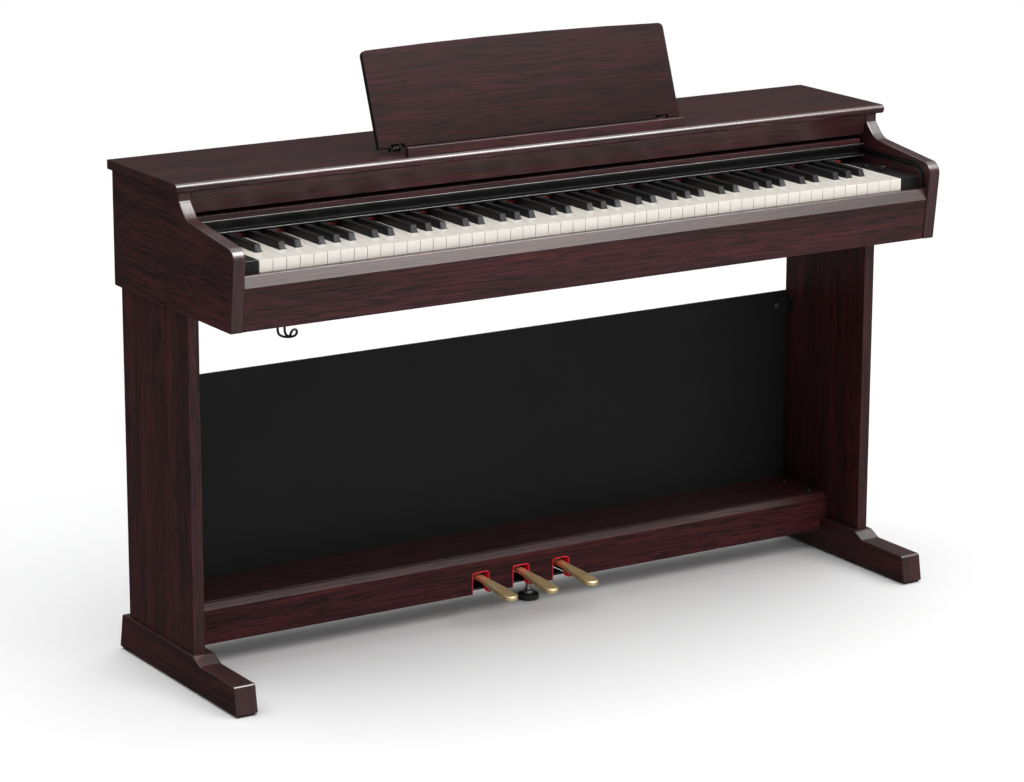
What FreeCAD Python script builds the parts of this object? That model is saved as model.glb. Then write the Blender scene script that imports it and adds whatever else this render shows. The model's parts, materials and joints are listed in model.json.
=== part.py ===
import FreeCAD, Part
import math
import os
import Sketcher

# Digital piano on a panel stand, in millimetres. X runs from the bass end to the treble
# end, Y from the player towards the back and Z up. The origin is on the floor, under the
# middle of the overall box.

DIMENSIONS = {
    # overall box
    "overall_width": 1357.0,
    "overall_height": 815.0,
    # top panel
    "top_thick": 15.0,
    "top_front": -44.0,
    "top_back": 197.0,
    # side panels with their curved arms
    "arm_thick": 22.0,
    "arm_outer": 670.5,
    "arm_bottom": 611.0,
    "arm_low_y": -198.0,
    "arm_high_y": -212.45,
    "arm_high_z": 741.0,
    "arm_cove_y": -57.0,
    "arm_cove_z": 761.0,
    "arm_neck_y": -33.0,
    "arm_neck_z": 786.0,
    "arm_nose_round": 20.0,
    "arm_cove_round": 36.0,
    "arm_neck_round": 5.0,
    # front board under the top, leaning back towards its lower edge
    "front_board_high_y": -33.0,
    "front_board_low_y": -26.0,
    "front_board_low_z": 764.0,
    "front_board_thick": 12.0,
    # key slip, keybed and rear panel
    "slip_low_y": -195.0,
    "slip_edge_y": -204.0,
    "slip_edge_z": 680.0,
    "slip_top_y": -196.0,
    "slip_top_z": 697.5,
    "slip_back_y": -184.5,
    "bed_thick": 15.0,
    "rear_thick": 4.0,
    # keyboard
    "key_pitch": 23.5,
    "key_gap": 1.0,
    "key_front": -181.5,
    "key_head": 48.0,
    "key_top": 716.0,
    "key_bottom": 694.0,
    "key_rear": 52.0,
    "black_top": 727.0,
    "black_base": 12.4,
    "black_crest": 9.6,
    "black_cap_rear": -20.0,
    "pivot_y": 40.0,
    "pivot_z": 703.0,
    "pivot_radius": 2.5,
    "running_gap": 0.06,
    "block_top": 716.5,
    # key cover and what carries it
    "cover_half": 638.0,
    "rail_front": -33.0,
    "rail_back": -6.0,
    "rail_low": 727.8,
    "rail_top": 750.0,
    "cover_thick": 8.0,
    "cover_rear": 172.0,
    "shaft_y": 158.0,
    "shaft_z": 740.0,
    "shaft_radius": 4.0,
    "wheel_radius": 9.0,
    "pin_y": -14.0,
    "pin_z": 734.5,
    "pin_radius": 2.4,
    "track_front": -193.7,
    "track_low": 699.0,
    "track_round": 26.0,
    "track_width": 9.0,
    "track_depth": 5.0,
    # music rest
    "rest_width": 580.0,
    "rest_side": 161.0,
    "rest_crown": 5.0,
    "rest_thick": 9.0,
    "rest_corner": 9.0,
    "rest_lean": 70.0,
    "rest_y": 20.5,
    "rest_z": 818.5,
    "support_pin": 60.0,
    "support_set": 1.4,
    "support_reach": 66.6,
    "ledge_half": 265.0,
    "ledge_front": -36.5,
    "ledge_thick": 10.0,
    "ledge_tall": 15.5,
    # legs, feet and back board
    "leg_inner": 645.0,
    "leg_thick": 20.0,
    "leg_front": -45.0,
    "leg_back": 183.0,
    "foot_inner": 632.0,
    "foot_outer": 671.0,
    "foot_front": -196.0,
    "foot_back": 210.5,
    "foot_high": 60.5,
    "foot_low": 49.5,
    "foot_clear": 3.0,
    "back_board_top": 449.5,
    "back_board_thick": 5.0,
    # pedals and their box
    "box_front": 44.0,
    "box_bottom": 39.0,
    "box_top": 106.0,
    "box_thick": 15.0,
    "pedal_pitch": 80.0,
    "opening_width": 34.0,
    "opening_top": 77.5,
    "pedal_pivot_y": 112.0,
    "pedal_pivot_z": 64.0,
    "pedal_tip": -62.0,
    "pedal_width": 27.0,
    "pedal_root": 14.0,
    "pedal_thick": 8.0,
}

doc = FreeCAD.newDocument("digital_piano")
sheet = doc.addObject("Spreadsheet::Sheet", "dims")
for row, (alias, value) in enumerate(DIMENSIONS.items(), start=1):
    sheet.set("A%d" % row, alias)
    sheet.set("B%d" % row, str(value))
    sheet.setAlias("B%d" % row, alias)
doc.recompute()


# ------------------------------------------------------------------ sizes and helpers


class Size:
    """A number together with the sheet expression that gives it."""

    def __init__(self, value, text):
        self.value = float(value)
        self.text = text

    def joined(self, other, sign, value):
        return Size(value, "(%s %s %s)" % (self.text, sign, other.text))

    def __add__(self, other):
        other = as_size(other)
        return self.joined(other, "+", self.value + other.value)

    def __sub__(self, other):
        other = as_size(other)
        return self.joined(other, "-", self.value - other.value)

    def __mul__(self, other):
        other = as_size(other)
        return self.joined(other, "*", self.value * other.value)

    def __truediv__(self, other):
        other = as_size(other)
        return self.joined(other, "/", self.value / other.value)

    def __radd__(self, other):
        return as_size(other) + self

    def __rsub__(self, other):
        return as_size(other) - self

    def __rmul__(self, other):
        return as_size(other) * self

    def __neg__(self):
        return as_size(-1) * self


def as_size(value):
    """Wraps a plain number as a Size."""
    if isinstance(value, Size):
        return value
    return Size(value, "%.6g" % value)


class Dims:
    """The driving dimensions by name, read back from the sheet."""

    def __getattr__(self, alias):
        return Size(getattr(sheet, alias), "dims." + alias)


D = Dims()
NODES = []
X_AXIS = FreeCAD.Vector(1, 0, 0)
TURN = {
    "X": FreeCAD.Rotation(FreeCAD.Vector(0, 1, 0), 90),
    "Y": FreeCAD.Rotation(FreeCAD.Vector(1, 0, 0), -90),
    "Z": FreeCAD.Rotation(),
}
MIRRORED_X = {"left": -1, "right": 1}


def bind(obj, path, value):
    """Ties a property to the sheet."""
    obj.setExpression(path, as_size(value).text)


def move(obj, x=0, y=0, z=0):
    """Ties an object's place to the sheet."""
    for axis, value in zip("xyz", (x, y, z)):
        bind(obj, "Placement.Base." + axis, value)
    return obj


def box(name, low, high):
    """A block between its lowest and highest corner."""
    block = doc.addObject("Part::Box", name)
    for prop, a, b in zip(("Length", "Width", "Height"), low, high):
        bind(block, prop, as_size(b) - a)
    return move(block, *low)


def rod(name, centre, radius, length, axis="X"):
    """A round bar that starts at centre and runs along an axis."""
    bar = doc.addObject("Part::Cylinder", name)
    bind(bar, "Radius", radius)
    bind(bar, "Height", length)
    bar.Placement = FreeCAD.Placement(FreeCAD.Vector(), TURN[axis])
    return move(bar, *centre)


def fuse(name, pieces):
    """One solid out of pieces that overlap."""
    joined = doc.addObject("Part::MultiFuse", name)
    joined.Shapes = pieces
    joined.Refine = True
    return joined


def group(name, pieces):
    """Separate solids in one node."""
    bundle = doc.addObject("Part::Compound", name)
    bundle.Links = pieces
    return bundle


def cut(name, base, tools):
    """base with every tool taken away."""
    tool = tools[0]
    if len(tools) > 1:
        tool = fuse(name + "_tools", tools)
    result = doc.addObject("Part::Cut", name)
    result.Base = base
    result.Tool = tool
    return result


def common(name, first, second):
    """What two solids share."""
    result = doc.addObject("Part::Common", name)
    result.Base = first
    result.Tool = second
    return result


def node(label, obj):
    """Names a finished sub-part."""
    obj.Label = label
    NODES.append(obj)
    return obj


def origin_plane(body, role):
    """One of a body's own origin planes."""
    return [f for f in body.Origin.OriginFeatures if f.Role == role][0]


def outline(body, name, plane, corners):
    """A closed sketch through the corners, each tied to the sheet."""
    sketch = body.newObject("Sketcher::SketchObject", name)
    sketch.AttachmentSupport = [(origin_plane(body, plane + "_Plane"), "")]
    sketch.MapMode = "FlatFace"
    points = [FreeCAD.Vector(as_size(c[0]).value, as_size(c[1]).value, 0) for c in corners]
    count = len(points)
    for i in range(count):
        sketch.addGeometry(Part.LineSegment(points[i], points[(i + 1) % count]), False)
    for i in range(count):
        sketch.addConstraint(Sketcher.Constraint("Coincident", i, 2, (i + 1) % count, 1))
    for i, corner in enumerate(corners):
        for kind, value, axis_line in (("DistanceX", corner[0], -2), ("DistanceY", corner[1], -1)):
            value = as_size(value)
            if abs(value.value) < 1e-9:
                sketch.addConstraint(Sketcher.Constraint("PointOnObject", i, 1, axis_line))
                continue
            index = sketch.addConstraint(Sketcher.Constraint(kind, -1, 1, i, 1, value.value))
            sketch.setExpression("Constraints[%d]" % index, value.text)
    return sketch


def corner_edges(shape, plane, corner):
    """The straight edges of a pad that stand on one corner of its outline."""
    first, second = {"YZ": ("y", "z"), "XZ": ("x", "z"), "XY": ("x", "y")}[plane]
    a, b = as_size(corner[0]).value, as_size(corner[1]).value
    found = []
    for index, edge in enumerate(shape.Edges, start=1):
        ends = [v.Point for v in edge.Vertexes]
        on_corner = [
            abs(getattr(p, first) - a) < 1e-4 and abs(getattr(p, second) - b) < 1e-4 for p in ends
        ]
        if len(ends) == 2 and all(on_corner):
            found.append("Edge%d" % index)
    return found


def prism(name, plane, corners, start, depth):
    """A pad of an outline between start and start + depth along the plane's normal.

    A corner with a third value is rounded to that radius."""
    body = doc.addObject("PartDesign::Body", name)
    sketch = outline(body, name + "_outline", plane, corners)
    pad = body.newObject("PartDesign::Pad", name + "_pad")
    pad.Profile = sketch
    bind(pad, "Length", depth)
    pad.Reversed = plane == "XZ"
    doc.recompute([sketch, pad])
    last = pad
    for step, radius in enumerate(dict.fromkeys(c[2] for c in corners if len(c) == 3)):
        edges = []
        for corner in corners:
            if len(corner) == 3 and corner[2] is radius:
                edges += corner_edges(last.Shape, plane, corner)
        rounding = body.newObject("PartDesign::Fillet", "%s_round%d" % (name, step))
        rounding.Base = (last, edges)
        bind(rounding, "Radius", radius)
        body.Tip = rounding
        doc.recompute([rounding])
        last = rounding
    place = {"YZ": (start, 0, 0), "XZ": (0, start, 0), "XY": (0, 0, start)}[plane]
    return move(body, *place)


def both_sides(inner, outer):
    """The low and high X of a piece at each end of the piano."""
    return {"left": (-outer, -inner), "right": (inner, outer)}


# ------------------------------------------------------------------ cabinet

ARM_INNER = D.arm_outer - D.arm_thick
TOP_UNDER = D.overall_height - D.top_thick
TOP_REAR = D.top_back


def make_top_panel():
    """The top board, with a half-round nose along its front edge."""
    half = D.overall_width / 2
    nose = D.top_thick / 2 - 0.05
    corners = [
        (D.top_front, TOP_UNDER, nose),
        (TOP_REAR, TOP_UNDER),
        (TOP_REAR, D.overall_height),
        (D.top_front, D.overall_height, nose),
    ]
    node("top_panel", prism("top_panel_body", "YZ", corners, -half, D.overall_width))


def track_outline(width):
    """The band that the cover's guide pin follows: straight, then turned down at the front."""
    half = width / 2
    outer, inner = D.track_round + half, D.track_round - half
    rear = 12.0
    return [
        (rear, D.pin_z - half),
        (rear, D.pin_z + half),
        (D.track_front - half, D.pin_z + half, outer),
        (D.track_front - half, D.track_low),
        (D.track_front + half, D.track_low),
        (D.track_front + half, D.pin_z - half, inner),
    ]


def make_side_panel(side):
    """A side board whose front is the curved arm, grooved inside for the cover's track."""
    low, high = both_sides(ARM_INNER, D.arm_outer)[side]
    corners = [
        (D.arm_low_y, D.arm_bottom),
        (TOP_REAR, D.arm_bottom),
        (TOP_REAR, TOP_UNDER),
        (D.arm_neck_y, TOP_UNDER),
        (D.arm_neck_y, D.arm_neck_z, D.arm_neck_round),
        (D.arm_cove_y, D.arm_cove_z, D.arm_cove_round),
        (D.arm_high_y, D.arm_high_z, D.arm_nose_round),
    ]
    panel = prism(side + "_side_board", "YZ", corners, low, D.arm_thick)
    start = ARM_INNER if side == "right" else -ARM_INNER - D.track_depth
    groove = prism(side + "_groove", "YZ", track_outline(D.track_width), start, D.track_depth)
    node(side + "_side_panel", cut(side + "_side_panel_cut", panel, [groove]))


def make_guide_tracks():
    """A thin black lining in each groove, with the slot that the guide pin slides in."""
    lining = D.track_width - 0.2
    slot = D.track_width - 3.2
    floor = 1.2
    pieces = []
    for side, sign in MIRRORED_X.items():
        depth = D.track_depth - 0.1
        start = ARM_INNER if sign > 0 else -ARM_INNER - depth
        base = prism(side + "_track_base", "YZ", track_outline(lining), start, depth)
        slot_start = start if sign > 0 else start + floor
        tool = prism(side + "_track_slot", "YZ", track_outline(slot), slot_start, depth - floor)
        pieces.append(cut(side + "_track", base, [tool]))
    node("guide_tracks", group("guide_track_pair", pieces))


def make_front_board():
    """The narrow board under the top, leaning back towards its lower edge."""
    corners = [
        (D.front_board_high_y, TOP_UNDER),
        (D.front_board_low_y, D.front_board_low_z),
        (D.front_board_low_y + D.front_board_thick, D.front_board_low_z),
        (D.front_board_high_y + D.front_board_thick, TOP_UNDER),
    ]
    node("front_board", prism("front_board_body", "YZ", corners, -ARM_INNER, ARM_INNER * 2))


def make_key_slip():
    """The rail in front of the keys: a leaning face under a sloped top edge."""
    corners = [
        (D.slip_low_y, D.arm_bottom),
        (D.slip_back_y, D.arm_bottom),
        (D.slip_back_y, D.slip_top_z),
        (D.slip_top_y, D.slip_top_z),
        (D.slip_edge_y, D.slip_edge_z),
    ]
    node("key_slip", prism("key_slip_body", "YZ", corners, -ARM_INNER, ARM_INNER * 2))


SPEAKER_X = 420.0
SPEAKER_Y = 118.0
SPEAKER_RADIUS = 56.0


def make_keybed():
    """The bottom board, with a round sound opening under each speaker."""
    bed = box(
        "keybed_board",
        (-ARM_INNER, D.slip_back_y, D.arm_bottom),
        (ARM_INNER, TOP_REAR - D.rear_thick, D.arm_bottom + D.bed_thick),
    )
    holes = [
        rod("sound_hole_%d" % i, (x, SPEAKER_Y, D.arm_bottom - 1), 48.0, D.bed_thick + 2, "Z")
        for i, x in enumerate((-SPEAKER_X, SPEAKER_X))
    ]
    node("keybed", cut("keybed_cut", bed, holes))


def make_rear_panel():
    """The thin board that closes the back of the cabinet."""
    low = (-ARM_INNER, TOP_REAR - D.rear_thick, D.arm_bottom)
    node("rear_panel", box("rear_panel_board", low, (ARM_INNER, TOP_REAR, TOP_UNDER)))


def make_speakers():
    """Two full-range speakers that look down through the keybed."""
    floor = D.arm_bottom + D.bed_thick
    pieces = []
    for i, x in enumerate((-SPEAKER_X, SPEAKER_X)):
        flange = rod("speaker_flange_%d" % i, (x, SPEAKER_Y, floor), SPEAKER_RADIUS, 4.0, "Z")
        basket = doc.addObject("Part::Cone", "speaker_basket_%d" % i)
        basket.Radius1 = 47.0
        basket.Radius2 = 24.0
        basket.Height = 24.0
        move(basket, x, SPEAKER_Y, floor + 3.9)
        magnet = rod("speaker_magnet_%d" % i, (x, SPEAKER_Y, floor + 27.8), 30.0, 12.0, "Z")
        pieces.append(fuse("speaker_%d" % i, [flange, basket, magnet]))
    node("speakers", group("speaker_pair", pieces))


def make_electronics():
    """The main board on its posts, and the socket panel at the back."""
    floor = D.arm_bottom + D.bed_thick
    board = box("board_plate", (-150, 100, floor + 12), (150, 178, floor + 13.6))
    posts = [
        rod("board_post_%d" % i, (x, y, floor), 4.0, 12.2, "Z")
        for i, (x, y) in enumerate(((-140, 108), (140, 108), (-140, 170), (140, 170)))
    ]
    chips = [
        box("board_chip_%d" % i, (x, 120, floor + 13.5), (x + 28, 148, floor + 17))
        for i, x in enumerate((-100, -30, 50))
    ]
    node("main_board", fuse("main_board_body", [board] + posts + chips))
    low = (-60, 150, D.arm_bottom - 9)
    node("socket_panel", box("socket_box", low, (60, 190, D.arm_bottom)))


JACK_LOW = (-612.0, -150.0)
JACK_HIGH = (-548.0, -104.0)
JACK_TALL = 10.5
JACK_CENTRES = (-596.0, -564.0)


def make_jack_unit():
    """The headphone box under the keybed, with two sockets that face the player."""
    body = box(
        "jack_box",
        (JACK_LOW[0], JACK_LOW[1], D.arm_bottom - JACK_TALL),
        (JACK_HIGH[0], JACK_HIGH[1], D.arm_bottom),
    )
    bores = [
        rod("jack_bore_%d" % i, (x, JACK_LOW[1] - 1, D.arm_bottom - 5.5), 3.2, 19.0, "Y")
        for i, x in enumerate(JACK_CENTRES)
    ]
    node("headphone_jack_unit", cut("jack_cut", body, bores))


HOOK_WIRE = 1.5
HOOK_X = -568.0
HOOK_Y = -168.0


def hook_spine():
    """The hook's centre line: down from the plate, forward, and up in an open curl."""
    top = D.arm_bottom.value
    knee = top - 14.0
    tip = HOOK_Y - 15.0
    curl = 6.0
    points = [
        (HOOK_Y, top - 1),
        (HOOK_Y, knee),
        (HOOK_Y - 1.5, knee - 3.5),
        (HOOK_Y - 5, knee - 5),
        (tip, knee - 5),
        (tip - curl, knee - 5 + curl),
        (tip, knee - 5 + 2 * curl),
    ]
    a, b, c, d, e, f, g = [FreeCAD.Vector(HOOK_X, y, z) for y, z in points]
    edges = [Part.LineSegment(a, b), Part.Arc(b, c, d), Part.LineSegment(d, e), Part.Arc(e, f, g)]
    return Part.Wire([edge.toShape() for edge in edges])


def make_headphone_hook():
    """Bent steel wire under a small plate, with a curled end for the headphones' band."""
    start = FreeCAD.Vector(HOOK_X, HOOK_Y, D.arm_bottom.value - 1)
    ring = Part.Wire(Part.makeCircle(HOOK_WIRE, start, FreeCAD.Vector(0, 0, -1)))
    hook = doc.addObject("Part::Feature", "hook_wire")
    hook.Shape = hook_spine().makePipeShell([ring], True, False)
    plate_low = (HOOK_X - 12, HOOK_Y - 7, D.arm_bottom - 1.6)
    plate = box("hook_plate", plate_low, (HOOK_X + 12, HOOK_Y + 7, D.arm_bottom))
    node("headphone_hook", fuse("hook_body", [hook, plate]))


# ------------------------------------------------------------------ end blocks and controls

BLOCK_INNER = D.key_pitch * 26 + 1.5
SLIDER_X = 626.0
SLIDER_LOW = -134.0
SLIDER_HIGH = -84.0
SLIDER_STEM = 1.4
KNOB_Y = -109.0
POWER_X = 625.0
POWER_Y = -66.0
POWER_RADIUS = 5.5
BUTTON_X = -630.0
BUTTON_YS = (-130.0, -108.0, -86.0)
BUTTON_SIZE = 9.0


def make_end_blocks():
    """The black blocks at each end of the keys, pierced for the controls."""
    block_rear = 28.0
    low_z = D.arm_bottom + D.bed_thick
    for side in ("left", "right"):
        low, high = both_sides(BLOCK_INNER, ARM_INNER)[side]
        block = box(side + "_block", (low, D.key_front, low_z), (high, block_rear, D.block_top))
        cavity_low = (low + 4, D.key_front + 4, low_z - 1)
        cavity_high = (high - 4, block_rear - 4, D.block_top - 4)
        tools = [box(side + "_block_cavity", cavity_low, cavity_high)]
        if side == "right":
            tools.append(
                box(
                    "slider_slot",
                    (SLIDER_X - 2, SLIDER_LOW, D.block_top - 5),
                    (SLIDER_X + 2, SLIDER_HIGH, D.block_top + 1),
                )
            )
            centre = (POWER_X, POWER_Y, D.block_top - 5)
            tools.append(rod("power_bore", centre, POWER_RADIUS + 0.4, 6.0, "Z"))
        else:
            for i, y in enumerate(BUTTON_YS):
                reach = BUTTON_SIZE / 2 + 0.4
                tools.append(
                    box(
                        "button_bore_%d" % i,
                        (BUTTON_X - reach, y - reach, D.block_top - 5),
                        (BUTTON_X + reach, y + reach, D.block_top + 1),
                    )
                )
        node(side + "_end_block", cut(side + "_block_cut", block, tools))


def make_controls():
    """Power button, volume slider knob and three function buttons."""
    under = D.block_top - 9
    cap = rod("power_cap", (POWER_X, POWER_Y, under), POWER_RADIUS, 12.0, "Z")
    skirt = rod("power_skirt", (POWER_X, POWER_Y, under), POWER_RADIUS + 1.8, 2.0, "Z")
    node("power_button", fuse("power_body", [cap, skirt]))

    grip = box(
        "knob_grip",
        (SLIDER_X - 4.5, KNOB_Y - 6.5, D.block_top + 0.4),
        (SLIDER_X + 4.5, KNOB_Y + 6.5, D.block_top + 8),
    )
    stem = box(
        "knob_stem",
        (SLIDER_X - SLIDER_STEM, KNOB_Y - 3, D.block_top - 8),
        (SLIDER_X + SLIDER_STEM, KNOB_Y + 3, D.block_top + 1),
    )
    node("volume_knob", fuse("knob_body", [grip, stem]))

    caps = []
    for i, y in enumerate(BUTTON_YS):
        half = BUTTON_SIZE / 2
        cap = box(
            "button_cap_%d" % i,
            (BUTTON_X - half, y - half, under),
            (BUTTON_X + half, y + half, D.block_top + 2),
        )
        skirt = box(
            "button_skirt_%d" % i,
            (BUTTON_X - half - 1.6, y - half - 1.6, under),
            (BUTTON_X + half + 1.6, y + half + 1.6, under + 2),
        )
        caps.append(fuse("button_%d" % i, [cap, skirt]))
    node("function_buttons", group("button_set", caps))


# ------------------------------------------------------------------ keyboard

OCTAVE = D.key_pitch * 7
FIRST_C = D.key_pitch * 2 - D.key_pitch * 26
LOW_SLOT = D.key_pitch * 3 / 5
HIGH_SLOT = D.key_pitch * 4 / 7
HIGH_GROUP = D.key_pitch * 3

# where each white key's tail starts and ends, from the left edge of its C
WHITE_TAILS = {
    "c": (0, LOW_SLOT),
    "d": (LOW_SLOT * 2, LOW_SLOT * 3),
    "e": (LOW_SLOT * 4, LOW_SLOT * 5),
    "f": (HIGH_GROUP, HIGH_GROUP + HIGH_SLOT),
    "g": (HIGH_GROUP + HIGH_SLOT * 2, HIGH_GROUP + HIGH_SLOT * 3),
    "a": (HIGH_GROUP + HIGH_SLOT * 4, HIGH_GROUP + HIGH_SLOT * 5),
    "b": (HIGH_GROUP + HIGH_SLOT * 6, HIGH_GROUP + HIGH_SLOT * 7),
}
BLACK_CENTRES = {
    "c_sharp": LOW_SLOT * 1.5,
    "d_sharp": LOW_SLOT * 3.5,
    "f_sharp": HIGH_GROUP + HIGH_SLOT * 1.5,
    "g_sharp": HIGH_GROUP + HIGH_SLOT * 3.5,
    "a_sharp": HIGH_GROUP + HIGH_SLOT * 5.5,
}
KEY_TALL = D.key_top - D.key_bottom
SHOULDER = D.key_front + D.key_head


def white_key(name, head_low, head_high, tail_low, tail_high):
    """A white key: a full-width head and a narrower tail between the black keys."""
    gap = D.key_gap / 2
    head_low, head_high = head_low + gap, head_high - gap
    tail_low, tail_high = tail_low + gap, tail_high - gap
    corners = [(head_low, D.key_front), (head_high, D.key_front)]
    if abs(head_high.value - tail_high.value) > 1e-6:
        corners += [(head_high, SHOULDER), (tail_high, SHOULDER)]
    corners += [(tail_high, D.key_rear), (tail_low, D.key_rear)]
    if abs(head_low.value - tail_low.value) > 1e-6:
        corners += [(tail_low, SHOULDER), (head_low, SHOULDER)]
    return prism(name, "XY", corners, D.key_bottom, KEY_TALL)


def repeated(body, count):
    """Repeats a body's pad at every octave."""
    pad = body.Tip
    pattern = body.newObject("PartDesign::LinearPattern", body.Name + "_octaves")
    pattern.Originals = [pad]
    pattern.Direction = (pad.Profile[0], ["H_Axis"])
    bind(pattern, "Length", OCTAVE * (count - 1))
    pattern.Occurrences = count
    body.Tip = pattern
    return body


def rod_bore(name):
    """The hole through a set of keys that their pivot rod runs in."""
    half = D.key_pitch * 27
    radius = D.pivot_radius + D.running_gap
    return rod(name, (-half, D.pivot_y, D.pivot_z), radius, half * 2, "X")


def make_white_keys():
    """One node for each of the seven white notes, through all the octaves."""
    for index, (letter, (tail_low, tail_high)) in enumerate(WHITE_TAILS.items()):
        name = "white_keys_" + letter
        low = FIRST_C + D.key_pitch * index
        tails = [FIRST_C + tail_low, FIRST_C + tail_high]
        octaves = 7
        if letter == "b":
            low = low - OCTAVE
            tails = [t - OCTAVE for t in tails]
            octaves = 8
        keys = [repeated(white_key(name + "_body", low, low + D.key_pitch, *tails), octaves)]
        if letter == "a":
            bottom = FIRST_C - D.key_pitch * 2
            tail = FIRST_C - OCTAVE + tail_high
            keys.append(white_key("lowest_a", bottom, bottom + D.key_pitch, bottom, tail))
        if letter == "c":
            last = FIRST_C + OCTAVE * 7
            end = last + D.key_pitch
            keys.append(white_key("highest_c", last, end, last, end))
        base = keys[0] if len(keys) == 1 else group(name + "_set", keys)
        node(name, cut(name + "_bored", base, [rod_bore(name + "_bore")]))


def black_key(name, centre):
    """A black key: a straight lower body under a cap that tapers to its crest."""
    half = D.black_base / 2
    crest = D.black_crest / 2
    front = SHOULDER + 1.6
    cap_low = D.key_top - 4
    lower = box(
        name + "_lower",
        (centre - half, front, D.key_bottom),
        (centre + half, D.key_rear, D.key_top - 2),
    )
    cap = doc.addObject("Part::Wedge", name + "_cap")
    sizes = {
        "Xmin": -half,
        "Xmax": half,
        "X2min": -crest,
        "X2max": crest,
        "Ymin": 0,
        "Ymax": D.black_top - cap_low,
        "Zmin": -D.black_cap_rear,
        "Zmax": -front,
        "Z2min": -D.black_cap_rear + 0.5,
        "Z2max": -front - 6.5,
    }
    for prop, value in sizes.items():
        setattr(cap, prop, as_size(value).value)
        bind(cap, prop, value)
    cap.Placement = FreeCAD.Placement(FreeCAD.Vector(), FreeCAD.Rotation(X_AXIS, 90))
    move(cap, centre, 0, cap_low)
    return fuse(name, [lower, cap])


def make_black_keys():
    """One node for each of the five black notes."""
    for note, centre in BLACK_CENTRES.items():
        name = "black_keys_" + note
        first = -1 if note == "a_sharp" else 0
        keys = [
            black_key("%s_%d" % (name, octave + 2), FIRST_C + centre + OCTAVE * octave)
            for octave in range(first, 7)
        ]
        bundle = group(name + "_set", keys)
        node(name, cut(name + "_bored", bundle, [rod_bore(name + "_bore")]))


def make_key_frame():
    """The steel frame under the keys and the rod that they all turn on."""
    half = D.key_pitch * 26
    reach = 4.2
    floor = D.arm_bottom + D.bed_thick
    pieces = [
        box("frame_plate", (-half, -168, floor), (half, 56, floor + 3)),
        box("frame_front", (-half, -168, floor), (half, -160, 680)),
        box("frame_rear", (-half - reach, 30, floor), (half + reach, 50, 688)),
    ]
    for side, (low, high) in both_sides(half + 0.2, half + reach).items():
        pieces.append(box(side + "_frame_lug", (low, 32, floor), (high, 48, D.pivot_z + 7)))
    frame = fuse("frame_body", pieces)
    start = (-half - reach, D.pivot_y, D.pivot_z)
    bore = rod("frame_bore", start, D.pivot_radius, (half + reach) * 2)
    node("key_frame", cut("frame_cut", frame, [bore]))
    node("key_pivot_rod", rod("pivot_bar", start, D.pivot_radius, (half + reach) * 2))


FELT_BAR_FRONT = -3.0


def make_key_felt():
    """A bar across the end blocks, and the red felt strip glued to its front."""
    half = BLOCK_INNER + 6
    low = (-half, FELT_BAR_FRONT, D.block_top)
    node("felt_bar", box("felt_bar_body", low, (half, FELT_BAR_FRONT + 8, D.block_top + 9)))
    half = D.key_pitch * 26
    low = (-half, FELT_BAR_FRONT - 13, D.block_top + 0.7)
    node("key_felt", box("felt_strip", low, (half, FELT_BAR_FRONT, D.block_top + 4.7)))


# ------------------------------------------------------------------ key cover

RUN_RAIL_TOP = D.shaft_z - D.wheel_radius - 0.2


def make_cover():
    """The wooden cover board, with two lugs under its rear edge for the cross shaft."""
    board = box(
        "cover_board",
        (-D.cover_half, D.rail_front + 2, D.rail_top),
        (D.cover_half, D.cover_rear, D.rail_top + D.cover_thick),
    )
    lugs = [
        box(
            "cover_lug_%d" % i,
            (x - 6, D.shaft_y - 8, D.shaft_z - 7),
            (x + 6, D.shaft_y + 8, D.rail_top + 1),
        )
        for i, x in enumerate((-560.0, 560.0))
    ]
    start = (-D.cover_half, D.shaft_y, D.shaft_z)
    bore = rod("cover_bore", start, D.shaft_radius + D.running_gap, D.cover_half * 2)
    node("key_cover", cut("cover_cut", fuse("cover_body", [board] + lugs), [bore]))


def make_cover_rail():
    """The black front moulding: two lips with a recess between them, and a pin at each end."""
    lip = 6.0
    set_back = 6.0
    corners = [
        (D.rail_front, D.rail_low),
        (D.rail_back, D.rail_low),
        (D.rail_back, D.rail_top),
        (D.rail_front, D.rail_top),
        (D.rail_front, D.rail_top - lip),
        (D.rail_front + set_back, D.rail_top - lip),
        (D.rail_front + set_back, D.rail_low + lip),
        (D.rail_front, D.rail_low + lip),
    ]
    moulding = prism("rail_moulding", "YZ", corners, -D.cover_half, D.cover_half * 2)
    reach = ARM_INNER + D.track_depth - 1.6
    pin = rod("rail_pins", (-reach, D.pin_y, D.pin_z), D.pin_radius, reach * 2)
    node("cover_rail", fuse("cover_rail_body", [moulding, pin]))


def make_cover_shaft():
    """The steel cross shaft with a wheel at each end, and the rails that the wheels run on."""
    half = D.cover_half - 2
    start = (-half, D.shaft_y, D.shaft_z)
    bar = rod("shaft_bar", start, D.shaft_radius, half * 2)
    wheels = [
        rod("shaft_wheel_%d" % i, (x, D.shaft_y, D.shaft_z), D.wheel_radius, 10.0)
        for i, x in enumerate((-634.0, 624.0))
    ]
    node("cover_shaft", fuse("shaft_body", [bar] + wheels))
    rails = [
        box(side + "_run_rail", (low, -4.0, RUN_RAIL_TOP - 7), (high, D.shaft_y + 14, RUN_RAIL_TOP))
        for side, (low, high) in both_sides(620.0, ARM_INNER).items()
    ]
    node("cover_run_rails", group("run_rail_pair", rails))


# ------------------------------------------------------------------ music rest

HINGE_XS = (-255.0, 255.0)
HINGE_PIN = 1.5
KNUCKLE = 3.2
KNUCKLE_WIDE = 12.0
REST_SET = 0.5
SUPPORT_XS = (-170.0, 170.0)
SUPPORT_WIDE = 9.0
SUPPORT_THICK = 1.8


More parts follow.
